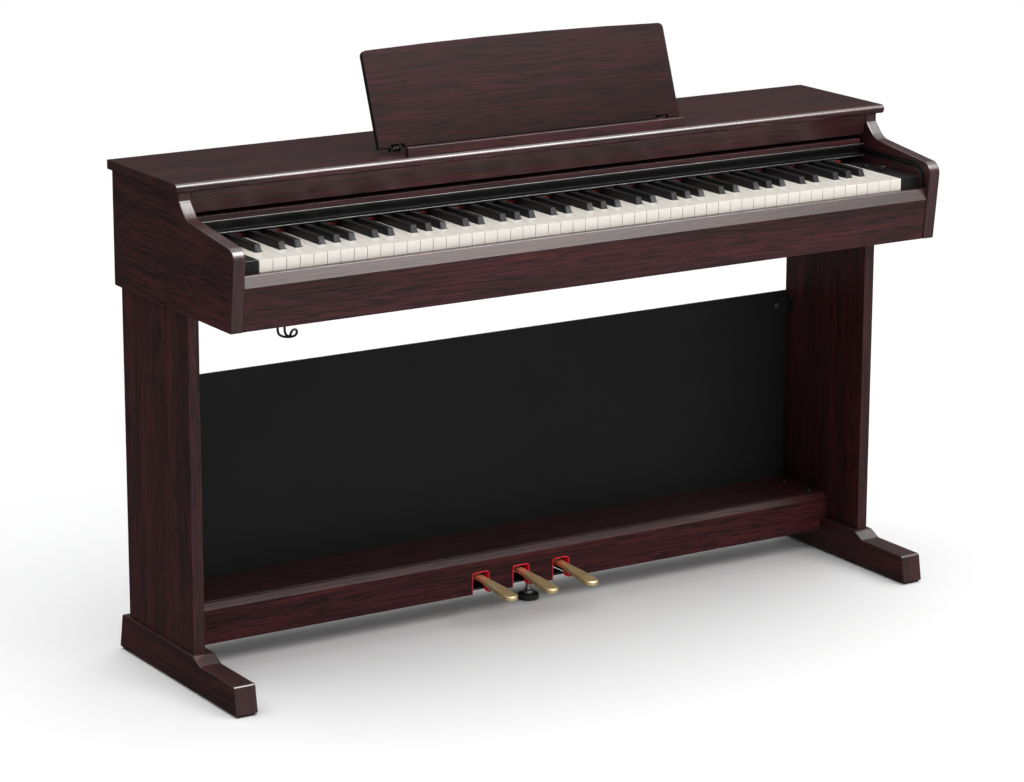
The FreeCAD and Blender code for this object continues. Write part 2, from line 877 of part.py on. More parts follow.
def leaned(obj):
    """Leans a piece that is drawn upright back to the music rest's angle, about its hinge."""
    back = FreeCAD.Rotation(FreeCAD.Vector(-1, 0, 0), 20)
    obj.Placement = FreeCAD.Placement(FreeCAD.Vector(), back)
    bind(obj, "Placement.Rotation.Angle", 90 - D.rest_lean)
    return move(obj, 0, D.rest_y, D.rest_z)


def rest_panel():
    """The music rest's board, upright, with a gently arched top edge and rounded corners."""
    half = D.rest_width / 2
    crest = D.rest_side + D.rest_crown
    corners = [(-half, 1), (half, 1), (half, crest), (-half, crest)]
    board = prism("rest_board", "XZ", corners, -D.rest_thick - REST_SET, D.rest_thick)
    arch = (half * half / D.rest_crown + D.rest_crown) / 2
    disc = rod("rest_arch", (0, -D.rest_thick - 1, crest - arch), arch, D.rest_thick + 2, "Y")
    arched = common("rest_arched", board, disc)
    doc.recompute()
    rounded = doc.addObject("Part::Fillet", "rest_rounded")
    rounded.Base = arched
    picked = []
    for index, edge in enumerate(arched.Shape.Edges, start=1):
        ends = [v.Point for v in edge.Vertexes]
        at_corner = [abs(abs(p.x) - half.value) < 1e-3 and p.z > 100 for p in ends]
        across = len(ends) == 2 and abs(ends[0].z - ends[1].z) < 1e-3
        if all(at_corner) and across:
            picked.append((index, D.rest_corner.value, D.rest_corner.value))
    rounded.Edges = picked
    return rounded


def make_music_rest():
    """The leaning panel with its hinge knuckles and the ears that hold the supports."""
    notches = [
        box("rest_notch_%d" % i, (x - 12.4, -12, -1), (x + 12.4, 2, 6))
        for i, x in enumerate(HINGE_XS)
    ]
    pieces = [cut("rest_notched", rest_panel(), notches)]
    for i, x in enumerate(HINGE_XS):
        start = (x - KNUCKLE_WIDE / 2, 0, 0)
        pieces.append(rod("rest_knuckle_%d" % i, start, KNUCKLE, KNUCKLE_WIDE))
        low = (x - KNUCKLE_WIDE / 2, -3, 0)
        pieces.append(box("rest_web_%d" % i, low, (x + KNUCKLE_WIDE / 2, 1, 9)))
    for i, x in enumerate(SUPPORT_XS):
        gap = SUPPORT_WIDE / 2 + 0.4
        for low, high in ((x - gap - 2.5, x - gap), (x + gap, x + gap + 2.5)):
            ear_low = (low, -REST_SET - 1, D.support_pin - 3)
            ear_high = (high, D.support_set + 1.3, D.support_pin + 3)
            pieces.append(box("rest_ear_%d_%d" % (i, low > x), ear_low, ear_high))
        start = (x - gap - 2, D.support_set, D.support_pin)
        pieces.append(rod("rest_support_pin_%d" % i, start, 0.7, gap * 2 + 4))
    bore = rod("rest_bore", (-300, 0, 0), HINGE_PIN + D.running_gap, 600)
    node("music_rest", leaned(cut("rest_cut", fuse("rest_body", pieces), [bore])))


def make_rest_hinges():
    """Two pairs of lugs on the top panel, each pair with its hinge pin."""
    pieces = []
    for i, x in enumerate(HINGE_XS):
        gap = KNUCKLE_WIDE / 2 + 0.4
        lugs = [
            box(
                "hinge_lug_%d_%d" % (i, low > x),
                (low, D.rest_y - 4, D.overall_height),
                (low + 4.6, D.rest_y + 4, D.rest_z + 3.4),
            )
            for low in (x - gap - 4.6, x + gap)
        ]
        start = (x - gap - 4.6, D.rest_y, D.rest_z)
        pin = rod("hinge_pin_%d" % i, start, HINGE_PIN, gap * 2 + 9.2)
        pieces.append(fuse("rest_hinge_%d" % i, lugs + [pin]))
    node("rest_hinges", group("rest_hinge_pair", pieces))


def make_rest_supports():
    """Two flat steel struts that flip down behind the music rest."""
    pieces = []
    for i, x in enumerate(SUPPORT_XS):
        half = SUPPORT_WIDE / 2
        strip_low = (x - half, -SUPPORT_THICK / 2, 0)
        strip_high = (x + half, SUPPORT_THICK / 2, D.support_reach)
        strip = box("support_strip_%d" % i, strip_low, strip_high)
        eye = rod("support_eye_%d" % i, (x - half, 0, 0), 1.5, SUPPORT_WIDE)
        bore = rod("support_bore_%d" % i, (x - half - 1, 0, 0), 0.7 + D.running_gap, 12)
        pieces.append(cut("support_%d" % i, fuse("support_body_%d" % i, [strip, eye]), [bore]))
    pair = group("support_pair", pieces)
    lean = math.radians(D.rest_lean.value)
    pin_y = D.rest_y + D.support_pin * math.cos(lean) + D.support_set * math.sin(lean)
    pin_z = D.rest_z + D.support_pin * math.sin(lean) - D.support_set * math.cos(lean)
    down = FreeCAD.Rotation(X_AXIS, 210)
    pair.Placement = FreeCAD.Placement(FreeCAD.Vector(), down)
    node("rest_supports", move(pair, 0, pin_y, pin_z))


def make_music_ledge():
    """The fixed strip in front of the music rest that sheet music stands against."""
    high = (D.ledge_half, D.ledge_front + D.ledge_thick, D.overall_height + D.ledge_tall)
    low = (-D.ledge_half, D.ledge_front, D.overall_height)
    node("music_ledge", box("ledge_strip", low, high))


# ------------------------------------------------------------------ stand


def make_legs():
    """Two upright panels between the feet and the cabinet."""
    for side, (low, high) in both_sides(D.leg_inner, D.leg_inner + D.leg_thick).items():
        corner = (low, D.leg_front, D.foot_high)
        node(side + "_leg", box(side + "_leg_panel", corner, (high, D.leg_back, D.arm_bottom)))


def make_feet():
    """The long feet, higher under the legs and stepped down towards the player."""
    corners = [
        (D.foot_front, D.foot_clear),
        (D.foot_back, D.foot_clear),
        (D.foot_back - 11, D.foot_high, 4),
        (-53, D.foot_high, 14),
        (-74, D.foot_low, 16),
        (D.foot_front + 8, D.foot_low, 5),
    ]
    width = D.foot_outer - D.foot_inner
    for side, (low, _) in both_sides(D.foot_inner, D.foot_outer).items():
        node(side + "_foot", prism(side + "_foot_body", "YZ", corners, low, width))
    pads = []
    for side, (low, high) in both_sides(D.foot_inner + 4, D.foot_outer - 4).items():
        for i, (front, back) in enumerate(((-193, -163), (-54, -26), (178, 207))):
            pad_low = (low, front, 0)
            pads.append(box("%s_pad_%d" % (side, i), pad_low, (high, back, D.foot_clear)))
    node("foot_pads", group("foot_pad_set", pads))


STAND_GAP = 0.5
BOARD_FRONT = D.leg_back - D.back_board_thick


def make_back_board():
    """The thin black board between the legs, down behind the pedal box."""
    half = D.leg_inner - STAND_GAP
    low = (-half, BOARD_FRONT, D.foot_high + 1)
    node("back_board", box("back_board_sheet", low, (half, D.leg_back, D.back_board_top)))


def pedal_centres():
    """The X of each pedal, bass side first."""
    return {"left": -D.pedal_pitch, "middle": as_size(0), "right": D.pedal_pitch}


def make_pedal_box():
    """The board across the front with its three openings, and the shelf behind it."""
    half = D.leg_inner - STAND_GAP
    inset = D.foot_inner - STAND_GAP
    notch = D.foot_high + STAND_GAP
    reach = D.opening_width / 2
    corners = [(-half, notch), (-inset, notch), (-inset, D.box_bottom)]
    for centre in pedal_centres().values():
        corners += [
            (centre - reach, D.box_bottom),
            (centre - reach, D.opening_top, 6),
            (centre + reach, D.opening_top, 6),
            (centre + reach, D.box_bottom),
        ]
    corners += [(inset, D.box_bottom), (inset, notch), (half, notch)]
    corners += [(half, D.box_top), (-half, D.box_top)]
    board = prism("pedal_board", "XZ", corners, D.box_front, D.box_thick)
    slope = [
        (D.box_front - 1, D.box_top - 11),
        (D.box_front + 11, D.box_top + 1),
        (D.box_front - 1, D.box_top + 1),
    ]
    edge = prism("pedal_board_slope", "YZ", slope, -half - 1, half * 2 + 2)
    node("pedal_box_front", cut("pedal_board_cut", board, [edge]))
    low = (-half, D.box_front + D.box_thick, D.box_top - D.box_thick)
    node("pedal_box_shelf", box("pedal_shelf", low, (half, BOARD_FRONT, D.box_top)))


def make_pedal_trims():
    """A thin red lining round each pedal opening."""
    pieces = []
    wall = 1.4
    outer = D.opening_width / 2 - 0.1
    inner = outer - wall
    top = D.opening_top - 0.1
    for name, centre in pedal_centres().items():
        corners = [
            (centre - outer, D.box_bottom),
            (centre - outer, top, 5.9),
            (centre + outer, top, 5.9),
            (centre + outer, D.box_bottom),
            (centre + inner, D.box_bottom),
            (centre + inner, top - wall, 4.5),
            (centre - inner, top - wall, 4.5),
            (centre - inner, D.box_bottom),
        ]
        start = D.box_front - 0.6
        pieces.append(prism(name + "_trim", "XZ", corners, start, D.box_thick + 0.6))
    node("pedal_trims", group("pedal_trim_set", pieces))


CHASSIS_PLATE = 3.0
SHAFT_HALF = 96.0
ADJUSTER_X = 40.0
ADJUSTER_Y = 84.0
ADJUSTER_RADIUS = 5.0


def make_pedal_chassis():
    """A steel plate with a pair of bearing cheeks for each pedal, and the shaft through them."""
    low_z = D.box_bottom + 2
    plate = box(
        "chassis_plate",
        (-SHAFT_HALF, D.box_front + D.box_thick, low_z),
        (SHAFT_HALF, D.pedal_pivot_y + 30, low_z + CHASSIS_PLATE),
    )
    hangers = [
        box(
            "chassis_hanger_%d" % i,
            (x, D.pedal_pivot_y + 24, low_z),
            (x + 30, D.pedal_pivot_y + 27, D.box_top - D.box_thick),
        )
        for i, x in enumerate((-SHAFT_HALF, SHAFT_HALF - 30))
    ]
    cheeks = []
    for name, centre in pedal_centres().items():
        for low in (centre - D.pedal_root / 2 - 4.5, centre + D.pedal_root / 2 + 1.5):
            cheeks.append(
                box(
                    "%s_cheek_%d" % (name, len(cheeks)),
                    (low, D.pedal_pivot_y - 12, low_z),
                    (low + 3, D.pedal_pivot_y + 12, D.pedal_pivot_z + 9),
                )
            )
    body = fuse("chassis_body", [plate] + hangers + cheeks)
    shaft_start = (-SHAFT_HALF, D.pedal_pivot_y, D.pedal_pivot_z)
    shaft_bore = rod("chassis_bore", shaft_start, 4, SHAFT_HALF * 2)
    nut = rod(
        "chassis_nut_bore",
        (ADJUSTER_X, ADJUSTER_Y, low_z - 1),
        ADJUSTER_RADIUS + D.running_gap,
        CHASSIS_PLATE + 2,
        "Z",
    )
    node("pedal_chassis", cut("chassis_cut", body, [shaft_bore, nut]))
    node("pedal_shaft", rod("pedal_shaft_bar", shaft_start, 4, SHAFT_HALF * 2))


def make_pedals():
    """Three brass pedals: a straight stem from the shaft that widens to a rounded tip."""
    drop = 8.0
    stem_top = D.pedal_pivot_z + 6
    tip_top = stem_top - drop
    for name, centre in pedal_centres().items():
        profile = [
            (D.pedal_pivot_y + 10, stem_top),
            (D.box_front, stem_top, 60),
            (D.pedal_tip, tip_top),
            (D.pedal_tip, tip_top - D.pedal_thick),
            (D.box_front, stem_top - D.pedal_thick, 60),
            (D.pedal_pivot_y + 10, stem_top - D.pedal_thick - 4),
        ]
        half = D.pedal_width / 2
        root = D.pedal_root / 2
        side = prism(name + "_pedal_side", "YZ", profile, centre - half, D.pedal_width)
        plan = [
            (centre - half, D.pedal_tip, half - 0.5),
            (centre + half, D.pedal_tip, half - 0.5),
            (centre + half - 1.5, D.pedal_tip + 42),
            (centre + root, D.box_front - 12),
            (centre + root, D.pedal_pivot_y + 10),
            (centre - root, D.pedal_pivot_y + 10),
            (centre - root, D.box_front - 12),
            (centre - half + 1.5, D.pedal_tip + 42),
        ]
        shape = prism(name + "_pedal_plan", "XY", plan, D.box_bottom, 60)
        start = (centre - half, D.pedal_pivot_y, D.pedal_pivot_z)
        bore = rod(name + "_pedal_bore", start, 4 + D.running_gap, D.pedal_width)
        blank = common(name + "_pedal_blank", side, shape)
        node(name + "_pedal", cut(name + "_pedal_cut", blank, [bore]))


def make_adjuster():
    """The screw under the pedal box that takes the player's push, and the pad it stands on."""
    pad_tall = 9.0
    pad = rod("adjuster_disc", (ADJUSTER_X, ADJUSTER_Y, 0), 18, pad_tall, "Z")
    socket = rod("adjuster_socket", (ADJUSTER_X, ADJUSTER_Y, 4), 5.3, pad_tall, "Z")
    node("adjuster_pad", cut("adjuster_pad_cut", pad, [socket]))
    screw = rod("adjuster_thread", (ADJUSTER_X, ADJUSTER_Y, 4.3), ADJUSTER_RADIUS, 52, "Z")
    collar = rod("adjuster_collar", (ADJUSTER_X, ADJUSTER_Y, pad_tall + 0.4), 9, 6, "Z")
    node("adjuster_screw", fuse("adjuster_screw_body", [screw, collar]))


BRACKET_WALL = 2.0
BRACKET_Z = 411.0
BRACKET_TALL = 28.0
BRACKET_WIDE = 33.0
BRACKET_DEEP = 22.0


def make_brackets_and_screws():
    """Black angle brackets from the legs to the back board, and the screw heads that show."""
    pieces = []
    heads = []
    low_y = BOARD_FRONT - BRACKET_DEEP
    top_z = BRACKET_Z + BRACKET_TALL
    for side, (low, high) in both_sides(D.leg_inner - BRACKET_WIDE, D.leg_inner).items():
        sign = MIRRORED_X[side]
        outer = both_sides(D.leg_inner - BRACKET_WALL, D.leg_inner)[side]
        leg_plate = box(
            side + "_bracket_leg", (outer[0], low_y, BRACKET_Z), (outer[1], BOARD_FRONT, top_z)
        )
        board_plate = box(
            side + "_bracket_board",
            (low, BOARD_FRONT - BRACKET_WALL, BRACKET_Z),
            (high, BOARD_FRONT, top_z),
        )
        pieces.append(fuse(side + "_bracket", [leg_plate, board_plate]))
        mid_z = BRACKET_Z + BRACKET_TALL / 2
        centre = (sign * (D.leg_inner - 24), BOARD_FRONT - BRACKET_WALL - 2.4, mid_z)
        heads.append(rod(side + "_board_screw", centre, 4.5, 2.4, "Y"))
        for i, y in enumerate((74, 148)):
            centre = (sign * (D.leg_inner - 20), y, D.box_top)
            heads.append(rod("%s_shelf_screw_%d" % (side, i), centre, 5, 2.4, "Z"))
    node("steel_brackets", group("bracket_pair", pieces))
    node("screw_heads", group("screw_head_set", heads))


# ------------------------------------------------------------------ build and write

make_top_panel()
make_side_panel("left")
make_side_panel("right")
make_guide_tracks()
make_front_board()
make_key_slip()
make_keybed()
make_rear_panel()
make_speakers()
make_electronics()
make_jack_unit()
make_headphone_hook()
make_end_blocks()
make_controls()
make_white_keys()
make_black_keys()
make_key_frame()
make_key_felt()
make_cover()
make_cover_rail()
make_cover_shaft()
make_music_rest()
make_rest_hinges()
make_rest_supports()
make_music_ledge()
make_legs()
make_feet()
make_back_board()
make_pedal_box()
make_pedal_trims()
make_pedal_chassis()
make_pedals()
make_adjuster()
make_brackets_and_screws()

doc.recompute()

failed = [o.Name for o in doc.Objects if "Invalid" in o.State or "Error" in o.State]
if failed:
    raise RuntimeError("failed objects: %s" % ", ".join(failed))
for obj in NODES:
    if obj.Shape.isNull() or not obj.Shape.isValid() or not obj.Shape.Solids:
        raise RuntimeError("bad shape: %s" % obj.Label)

os.makedirs("parts", exist_ok=True)
for obj in NODES:
    obj.Shape.exportStep("parts/%s.step" % obj.Label)
whole = Part.makeCompound([o.Shape for o in NODES]).BoundBox
print("%d sub-parts" % len(NODES))
print("box %.2f %.2f %.2f to %.2f %.2f %.2f" % (
    whole.XMin, whole.YMin, whole.ZMin, whole.XMax, whole.YMax, whole.ZMax))
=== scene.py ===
# %% [markdown]
# A digital piano on its stand. The packed model gives every piece its size and place, in
# metres: X runs from the bass end to the treble end, Y from the player to the back and Z
# up. This lesson gives those pieces soft edges, real finishes and the small fittings that
# make them look made rather than drawn.

import json
import math

import bmesh
import bpy
from mathutils import Matrix, Vector

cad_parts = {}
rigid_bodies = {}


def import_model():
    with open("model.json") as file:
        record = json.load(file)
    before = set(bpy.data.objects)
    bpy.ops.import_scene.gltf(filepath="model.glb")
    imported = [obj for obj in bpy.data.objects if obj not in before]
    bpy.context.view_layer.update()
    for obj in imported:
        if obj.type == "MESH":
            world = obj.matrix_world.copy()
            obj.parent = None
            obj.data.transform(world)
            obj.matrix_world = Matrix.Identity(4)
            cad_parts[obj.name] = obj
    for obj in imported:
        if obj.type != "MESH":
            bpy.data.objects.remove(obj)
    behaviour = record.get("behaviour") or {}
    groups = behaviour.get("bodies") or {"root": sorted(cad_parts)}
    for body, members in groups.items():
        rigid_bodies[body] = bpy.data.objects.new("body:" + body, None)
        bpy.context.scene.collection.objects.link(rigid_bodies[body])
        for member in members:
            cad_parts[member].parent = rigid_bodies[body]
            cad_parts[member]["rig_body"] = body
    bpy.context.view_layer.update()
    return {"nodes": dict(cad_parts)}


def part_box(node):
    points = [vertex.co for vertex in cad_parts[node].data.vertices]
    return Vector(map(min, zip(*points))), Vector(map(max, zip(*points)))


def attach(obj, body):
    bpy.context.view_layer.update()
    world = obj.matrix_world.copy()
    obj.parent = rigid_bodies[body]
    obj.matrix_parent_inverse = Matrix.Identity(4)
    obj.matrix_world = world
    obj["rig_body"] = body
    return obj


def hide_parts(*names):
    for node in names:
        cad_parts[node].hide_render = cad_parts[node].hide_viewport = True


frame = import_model()
nodes = frame["nodes"]
MM = 0.001

# %% [markdown]
# Finishes are written as sums. A pattern could be wired node by node, but that hides what
# it works out. A wrapped socket knows how to add, subtract and multiply, so a pattern
# reads like the arithmetic that it is.


# %% A socket that does arithmetic
class Value:
    """A shader socket that can be used in a Python expression."""

    def __init__(self, finish, socket):
        self.finish = finish
        self.socket = socket

    def using(self, operation, *others):
        """The result of one Math node on this socket and the others."""
        inputs = {0: self, **dict(enumerate(others, start=1))}
        return self.finish.node("ShaderNodeMath", {"operation": operation}, inputs)["Value"]

    def __add__(self, other):
        return self.using("ADD", other)

    def __sub__(self, other):
        return self.using("SUBTRACT", other)

    def __mul__(self, other):
        return self.using("MULTIPLY", other)

    def __radd__(self, other):
        return self.using("ADD", other)

    def __rmul__(self, other):
        return self.using("MULTIPLY", other)

    def __rsub__(self, other):
        return (self * -1.0).using("ADD", other)

    def between(self, low, high):
        """0 below low, 1 above high, and a smooth step from one to the other."""
        inputs = {"Value": self, "From Min": low, "From Max": high}
        step = {"interpolation_type": "SMOOTHSTEP"}
        return self.finish.node("ShaderNodeMapRange", step, inputs)["Result"]


print("a socket can be used with + - and *, and", Value.between.__name__, "two limits")

# %% [markdown]
# A finish is one material. Every node comes from one method, which takes the node's
# settings first and its inputs after them, because some settings change which inputs a
# node has. Patterns read Object coordinates, which are metres on this model, so a scale
# is a number of repeats in a metre and a finish looks the same on each piece.


# %% A finish and its nodes
class Finish:
    """A material, with short ways to reach its shader, its patterns and its colours."""

    def __init__(self, name, **constants):
        self.material = bpy.data.materials.new(name)
        self.material.use_nodes = True
        self.tree = self.material.node_tree
        self.shader = self.tree.nodes["Principled BSDF"]
        self.place = self.node("ShaderNodeTexCoord")["Object"]
        for socket, value in constants.items():
            self.shader.inputs[socket.replace("_", " ")].default_value = value

    def fill(self, socket, value):
        """Links a wrapped socket, or sets a plain value."""
        if isinstance(value, Value):
            self.tree.links.new(value.socket, socket)
        else:
            socket.default_value = value

    def node(self, kind, settings=None, inputs=None):
        """A node by its type, with its settings, then its inputs. Gives its outputs by name."""
        made = self.tree.nodes.new(kind)
        for key, value in (settings or {}).items():
            setattr(made, key, value)
        for key, value in (inputs or {}).items():
            self.fill(made.inputs[key], value)
        return {out.name: Value(self, out) for out in made.outputs if out.enabled}

    def drawn(self, where, flow, along, across):
        """A place scaled by along on the axes in flow and by across on the others."""
        scale = [along if axis in flow else across for axis in "XYZ"]
        return self.node("ShaderNodeMapping", None, {"Vector": where, "Scale": scale})["Vector"]

    def noise(self, where, scale=1.0, detail=2.0, rough=0.5):
        """Soft noise from 0 to 1."""
        inputs = {"Vector": where, "Scale": scale, "Detail": detail, "Roughness": rough}
        kind = {"noise_dimensions": "3D"}
        outputs = self.node("ShaderNodeTexNoise", kind, inputs)
        return outputs.get("Factor") or outputs["Fac"]

    def blend(self, share, first, second):
        """The first colour where share is 0 and the second where it is 1."""
        rgb = [value if isinstance(value, Value) else (*value, 1.0) for value in (first, second)]
        inputs = {0: share, 6: rgb[0], 7: rgb[1]}
        return self.node("ShaderNodeMix", {"data_type": "RGBA"}, inputs)["Result"]

    def paint(self, colour, roughness):
        """Feeds the shader's colour and roughness."""
        self.fill(self.shader.inputs["Base Color"], colour)
        self.fill(self.shader.inputs["Roughness"], roughness)

    def emboss(self, height, distance, strength=1.0):
        """Feeds a relief, in metres, into the shader's normal."""
        inputs = {"Height": height, "Distance": distance, "Strength": strength}
        self.fill(self.shader.inputs["Normal"], self.node("ShaderNodeBump", None, inputs)["Normal"])


print("a finish can", [way for way in vars(Finish) if not way.startswith("_")])

# %% [markdown]
# The cabinet is covered with a printed rosewood film. A wave texture would give stripes
# that are too even, so its figure is made of three sizes of noise drawn out along the
# board: broad bands of tone, wavy dark lines a few millimetres apart, and short pores
# finer than those. The boards' place is bent a little first, so that the lines wander as
# grown wood does. Curved edges and the nose shine more than flat faces, and the music
# rest, which leans back towards the lights, shines least. The rest faces the bright sky,
# so its colour is also darkened towards black: painted shade.


# %% Rosewood film
GRAIN = {  # repeats in a metre, along the grain and across it
    "wander": (4.0, 13.0),
    "bands": (2.0, 46.0),
    "rings": (5.5, 200.0),
    "fibres": (10.0, 760.0),
    "pores": (30.0, 1300.0),
}
GRAIN_BEND, PORE_DEPTH = 12 * MM, 0.04 * MM
BLACK = (0.0, 0.0, 0.0)


def rosewood(name, flow, shine=1.0, painted_shade=0.0):
    """A dark rosewood film whose grain runs along the axes listed in flow. Its last argument
    darkens the colour towards black, as painted shade.
    """
    finish = Finish(
        name, Coat_Roughness=0.24, Specular_IOR_Level=0.24 * shine, Coat_Weight=0.34 * shine
    )

    def layer(where, kind, **settings):
        return finish.noise(finish.drawn(where, flow, *GRAIN[kind]), **settings)

    wander = layer(finish.place, "wander")
    lean = {0: finish.place, 1: (wander - 0.5) * GRAIN_BEND}
    bent = finish.node("ShaderNodeVectorMath", {"operation": "ADD"}, lean)["Vector"]
    bands = layer(bent, "bands", detail=3.0).between(0.34, 0.66)
    rings = layer(bent, "rings", rough=0.55)
    lines = 1.0 - (rings - 0.5).using("ABSOLUTE").between(0.008, 0.06)
    fibres = layer(bent, "fibres", rough=0.6).between(0.3, 0.7)
    pores = layer(bent, "pores", detail=1.0).between(0.56, 0.68)

    warm = finish.blend(bands, (0.044, 0.0120, 0.0132), (0.083, 0.0164, 0.0186))
    soft = finish.blend(fibres * 0.55, warm, (0.016, 0.0085, 0.0088))
    lined = finish.blend(lines * 0.76, soft, (0.0080, 0.0050, 0.0052))
    pored = finish.blend(pores * 0.55, lined, (0.006, 0.004, 0.004))
    # Painted shade: the colour is darkened towards black by the last argument.
    finish.paint(finish.blend(painted_shade, pored, BLACK), 0.35 + pores * 0.1 + lines * 0.05)
    finish.emboss(1.0 - pores * 0.6 - lines * 0.25, PORE_DEPTH, 0.4)
    return finish.material


wood_across = rosewood("rosewood_across", "X")
wood_upright = rosewood("rosewood_upright", "Z")
wood_deep = rosewood("rosewood_deep", "Y")
wood_edge = rosewood("rosewood_edge", "YZ", shine=2.0)
wood_nose = rosewood("rosewood_nose", "X", shine=1.75)
wood_matt = rosewood("rosewood_matt", "X", shine=0.3)
# The music rest faces the bright sky, so its colour is darkened with painted shade.
wood_rest = rosewood("rosewood_rest", "X", shine=0.16, painted_shade=0.3)
print("rosewood finishes", len(bpy.data.materials))

# %% [markdown]
# The end blocks, the cover's rail and the buttons are moulded black plastic, and the big
# board behind the pedals is a painted sheet. One flat black would look like a hole, and
# they differ mostly in how they scatter light, so one helper gives each a slight drift of
# tone and a very fine spark texture, with its own roughness, fineness and depth.


# %% Moulded plastics and painted boards
def moulded(name, dark, light, roughness, grain, relief, **constants):
    """A moulded surface: a slight drift of tone and a fine spark texture."""
    finish = Finish(name, **constants)
    drift = finish.noise(finish.place, 9.0, 3.0)
    spark = finish.noise(finish.place, grain, 2.0, 0.6)
    finish.paint(finish.blend(drift, dark, light), roughness + (spark - 0.5) * 0.16)
    finish.emboss(spark, relief, 0.6)
    return finish.material


black_plastic = moulded(
    "black_moulding", (0.006, 0.006, 0.0065), (0.009, 0.009, 0.0095), 0.36, 2600.0, 0.00003,
    Specular_IOR_Level=0.4,
)
rail_gloss = moulded(
    "rail_gloss", (0.004, 0.004, 0.0045), (0.007, 0.007, 0.0075), 0.3, 2600.0, 0.000004,
    Specular_IOR_Level=0.22, Coat_Weight=0.2, Coat_Roughness=0.2,
)
# Paler grey than the black rail, as painted highlight for the line of light on the rail's lips.
bead_painted_highlight = moulded(
    "bead_painted_highlight", (0.085, 0.082, 0.082), (0.12, 0.116, 0.116), 0.24, 2600.0, 0.000004,
    Metallic=0.5,
)
black_board = moulded(
    "black_board", (0.0070, 0.0070, 0.0076), (0.0100, 0.0100, 0.0108), 0.5, 1400.0, 0.00005,
    Specular_IOR_Level=0.3,
)
black_paint = moulded(
    "black_paint", (0.006, 0.006, 0.006), (0.010, 0.010, 0.010), 0.38, 1800.0, 0.00004
)
rubber = moulded("rubber", (0.012, 0.012, 0.012), (0.02, 0.02, 0.02), 0.75, 1100.0, 0.00008)
red_lining = moulded(
    "red_lining", (0.74, 0.006, 0.028), (0.86, 0.010, 0.040), 0.5, 1500.0, 0.00003
)
print("finishes so far", len(bpy.data.materials))

# %% [markdown]
# Key tops are smooth plastic, a warm white and a deep black. Each key could have its own
# material, but noise drawn out along the keys does as much: it changes from one key to
# the next and leaves faint streaks along each, as real tops have.


# %% Key tops
def key_surface(name, dark, light, roughness, **constants):
    """Key plastic: faint streaks drawn out along the key."""
    finish = Finish(name, **constants)
    streaks = finish.noise(finish.drawn(finish.place, "Y", 14.0, 520.0), detail=2.0)
    drift = finish.noise(finish.drawn(finish.place, "Y", 3.0, 40.0), detail=1.0)
    tone = streaks * 0.5 + drift * 0.5
    finish.paint(finish.blend(tone, dark, light), roughness + streaks * 0.08)
    finish.emboss(streaks, 0.00002, 0.5)
    return finish.material


ivory = key_surface(
    "key_ivory", (0.79, 0.745, 0.67), (0.87, 0.83, 0.765), 0.26,
    Coat_Weight=0.35, Coat_Roughness=0.2,
)
ebony = key_surface(
    "key_ebony", (0.0055, 0.0056, 0.006), (0.0105, 0.0106, 0.0115), 0.33,
    Specular_IOR_Level=0.24,
)
print("keys in", ivory.name, "and", ebony.name)

# %% [markdown]
# The pedals are polished brass, and the screws and supports are bright steel. Metals take
# their look from what they reflect, so their own colour is nearly even and the roughness
# does the work: fine hairlines along the polish, and a slight drift where shoes have worn
# it. The brass isn't fully metallic, so that it keeps its gold in a plain white studio.


# %% Metals
def metal(name, dark, light, roughness, flow, metallic=1.0):
    """A metal with hairlines along one axis."""
    finish = Finish(name, Metallic=metallic)
    hair = finish.noise(finish.drawn(finish.place, flow, 12.0, 900.0), detail=2.0)
    worn = finish.noise(finish.place, 38.0, 3.0).between(0.35, 0.7)
    finish.paint(finish.blend(worn, dark, light), roughness + hair * 0.07 + worn * 0.05)
    finish.emboss(hair, 0.00002, 0.4)
    return finish.material


brass = metal("polished_brass", (0.96, 0.70, 0.34), (1.0, 0.80, 0.46), 0.27, "Y", 0.74)
steel = metal("bright_steel", (0.36, 0.36, 0.37), (0.50, 0.50, 0.51), 0.28, "X")
print("metals", brass.name, steel.name)

# %% [markdown]
# A strip of red felt lies behind the keys, and black cloth covers the speakers. Strands
# of hair would be far too heavy for something a few millimetres high. Two crossed sines
# make the weave and fine noise the fibres, and sheen gives the felt its pale edge.


# %% Felt and sound cloth
def woven(name, dark, light, pitch, relief, roughness, **constants):
    """Threads over and under, or matted fibres where the pitch is very fine."""
    finish = Finish(name, **constants)
    parts = finish.node("ShaderNodeSeparateXYZ", None, {0: finish.place})
    weave = (parts["X"] * pitch).using("SINE") * (parts["Y"] * pitch).using("SINE")
    fibres = finish.noise(finish.place, pitch * 0.7, 3.0, 0.7)
    height = weave * 0.3 + fibres * 0.7
    finish.paint(finish.blend(height.between(0.1, 0.7), dark, light), roughness + fibres * 0.1)
    finish.emboss(height, relief, 0.8)
    return finish.material


red_felt = woven(
    "red_felt", (0.50, 0.005, 0.012), (0.88, 0.018, 0.036), 2600.0, 0.0003, 0.85,
    Sheen_Weight=0.4, Sheen_Roughness=0.5,
)
sound_cloth = woven(
    "sound_cloth", (0.004, 0.004, 0.004), (0.03, 0.03, 0.03), 3600.0, 0.0004, 0.8
)
print("soft finishes", red_felt.name, sound_cloth.name)

# %% [markdown]
# The main board is green, with paler printed tracks. Tracks run square, so the pattern is
# made of cells whose distance is measured along the axes, and the tracks are their rims.


# %% Circuit board
def circuit_board():
    """A green board with paler printed tracks."""
    finish = Finish("circuit_board", Coat_Weight=0.4)
    square = {"distance": "CHEBYCHEV"}
    inputs = {"Vector": finish.place, "Scale": 160.0}
    cells = finish.node("ShaderNodeTexVoronoi", square, inputs)
    tracks = cells["Distance"].between(0.28, 0.36)
    green = finish.blend(tracks, (0.010, 0.085, 0.030), (0.03, 0.17, 0.06))
    finish.paint(green, 0.35 + tracks * 0.1)
    finish.emboss(tracks, 0.00005)
    return finish.material


green_board = circuit_board()
print("finishes in all", len(bpy.data.materials))

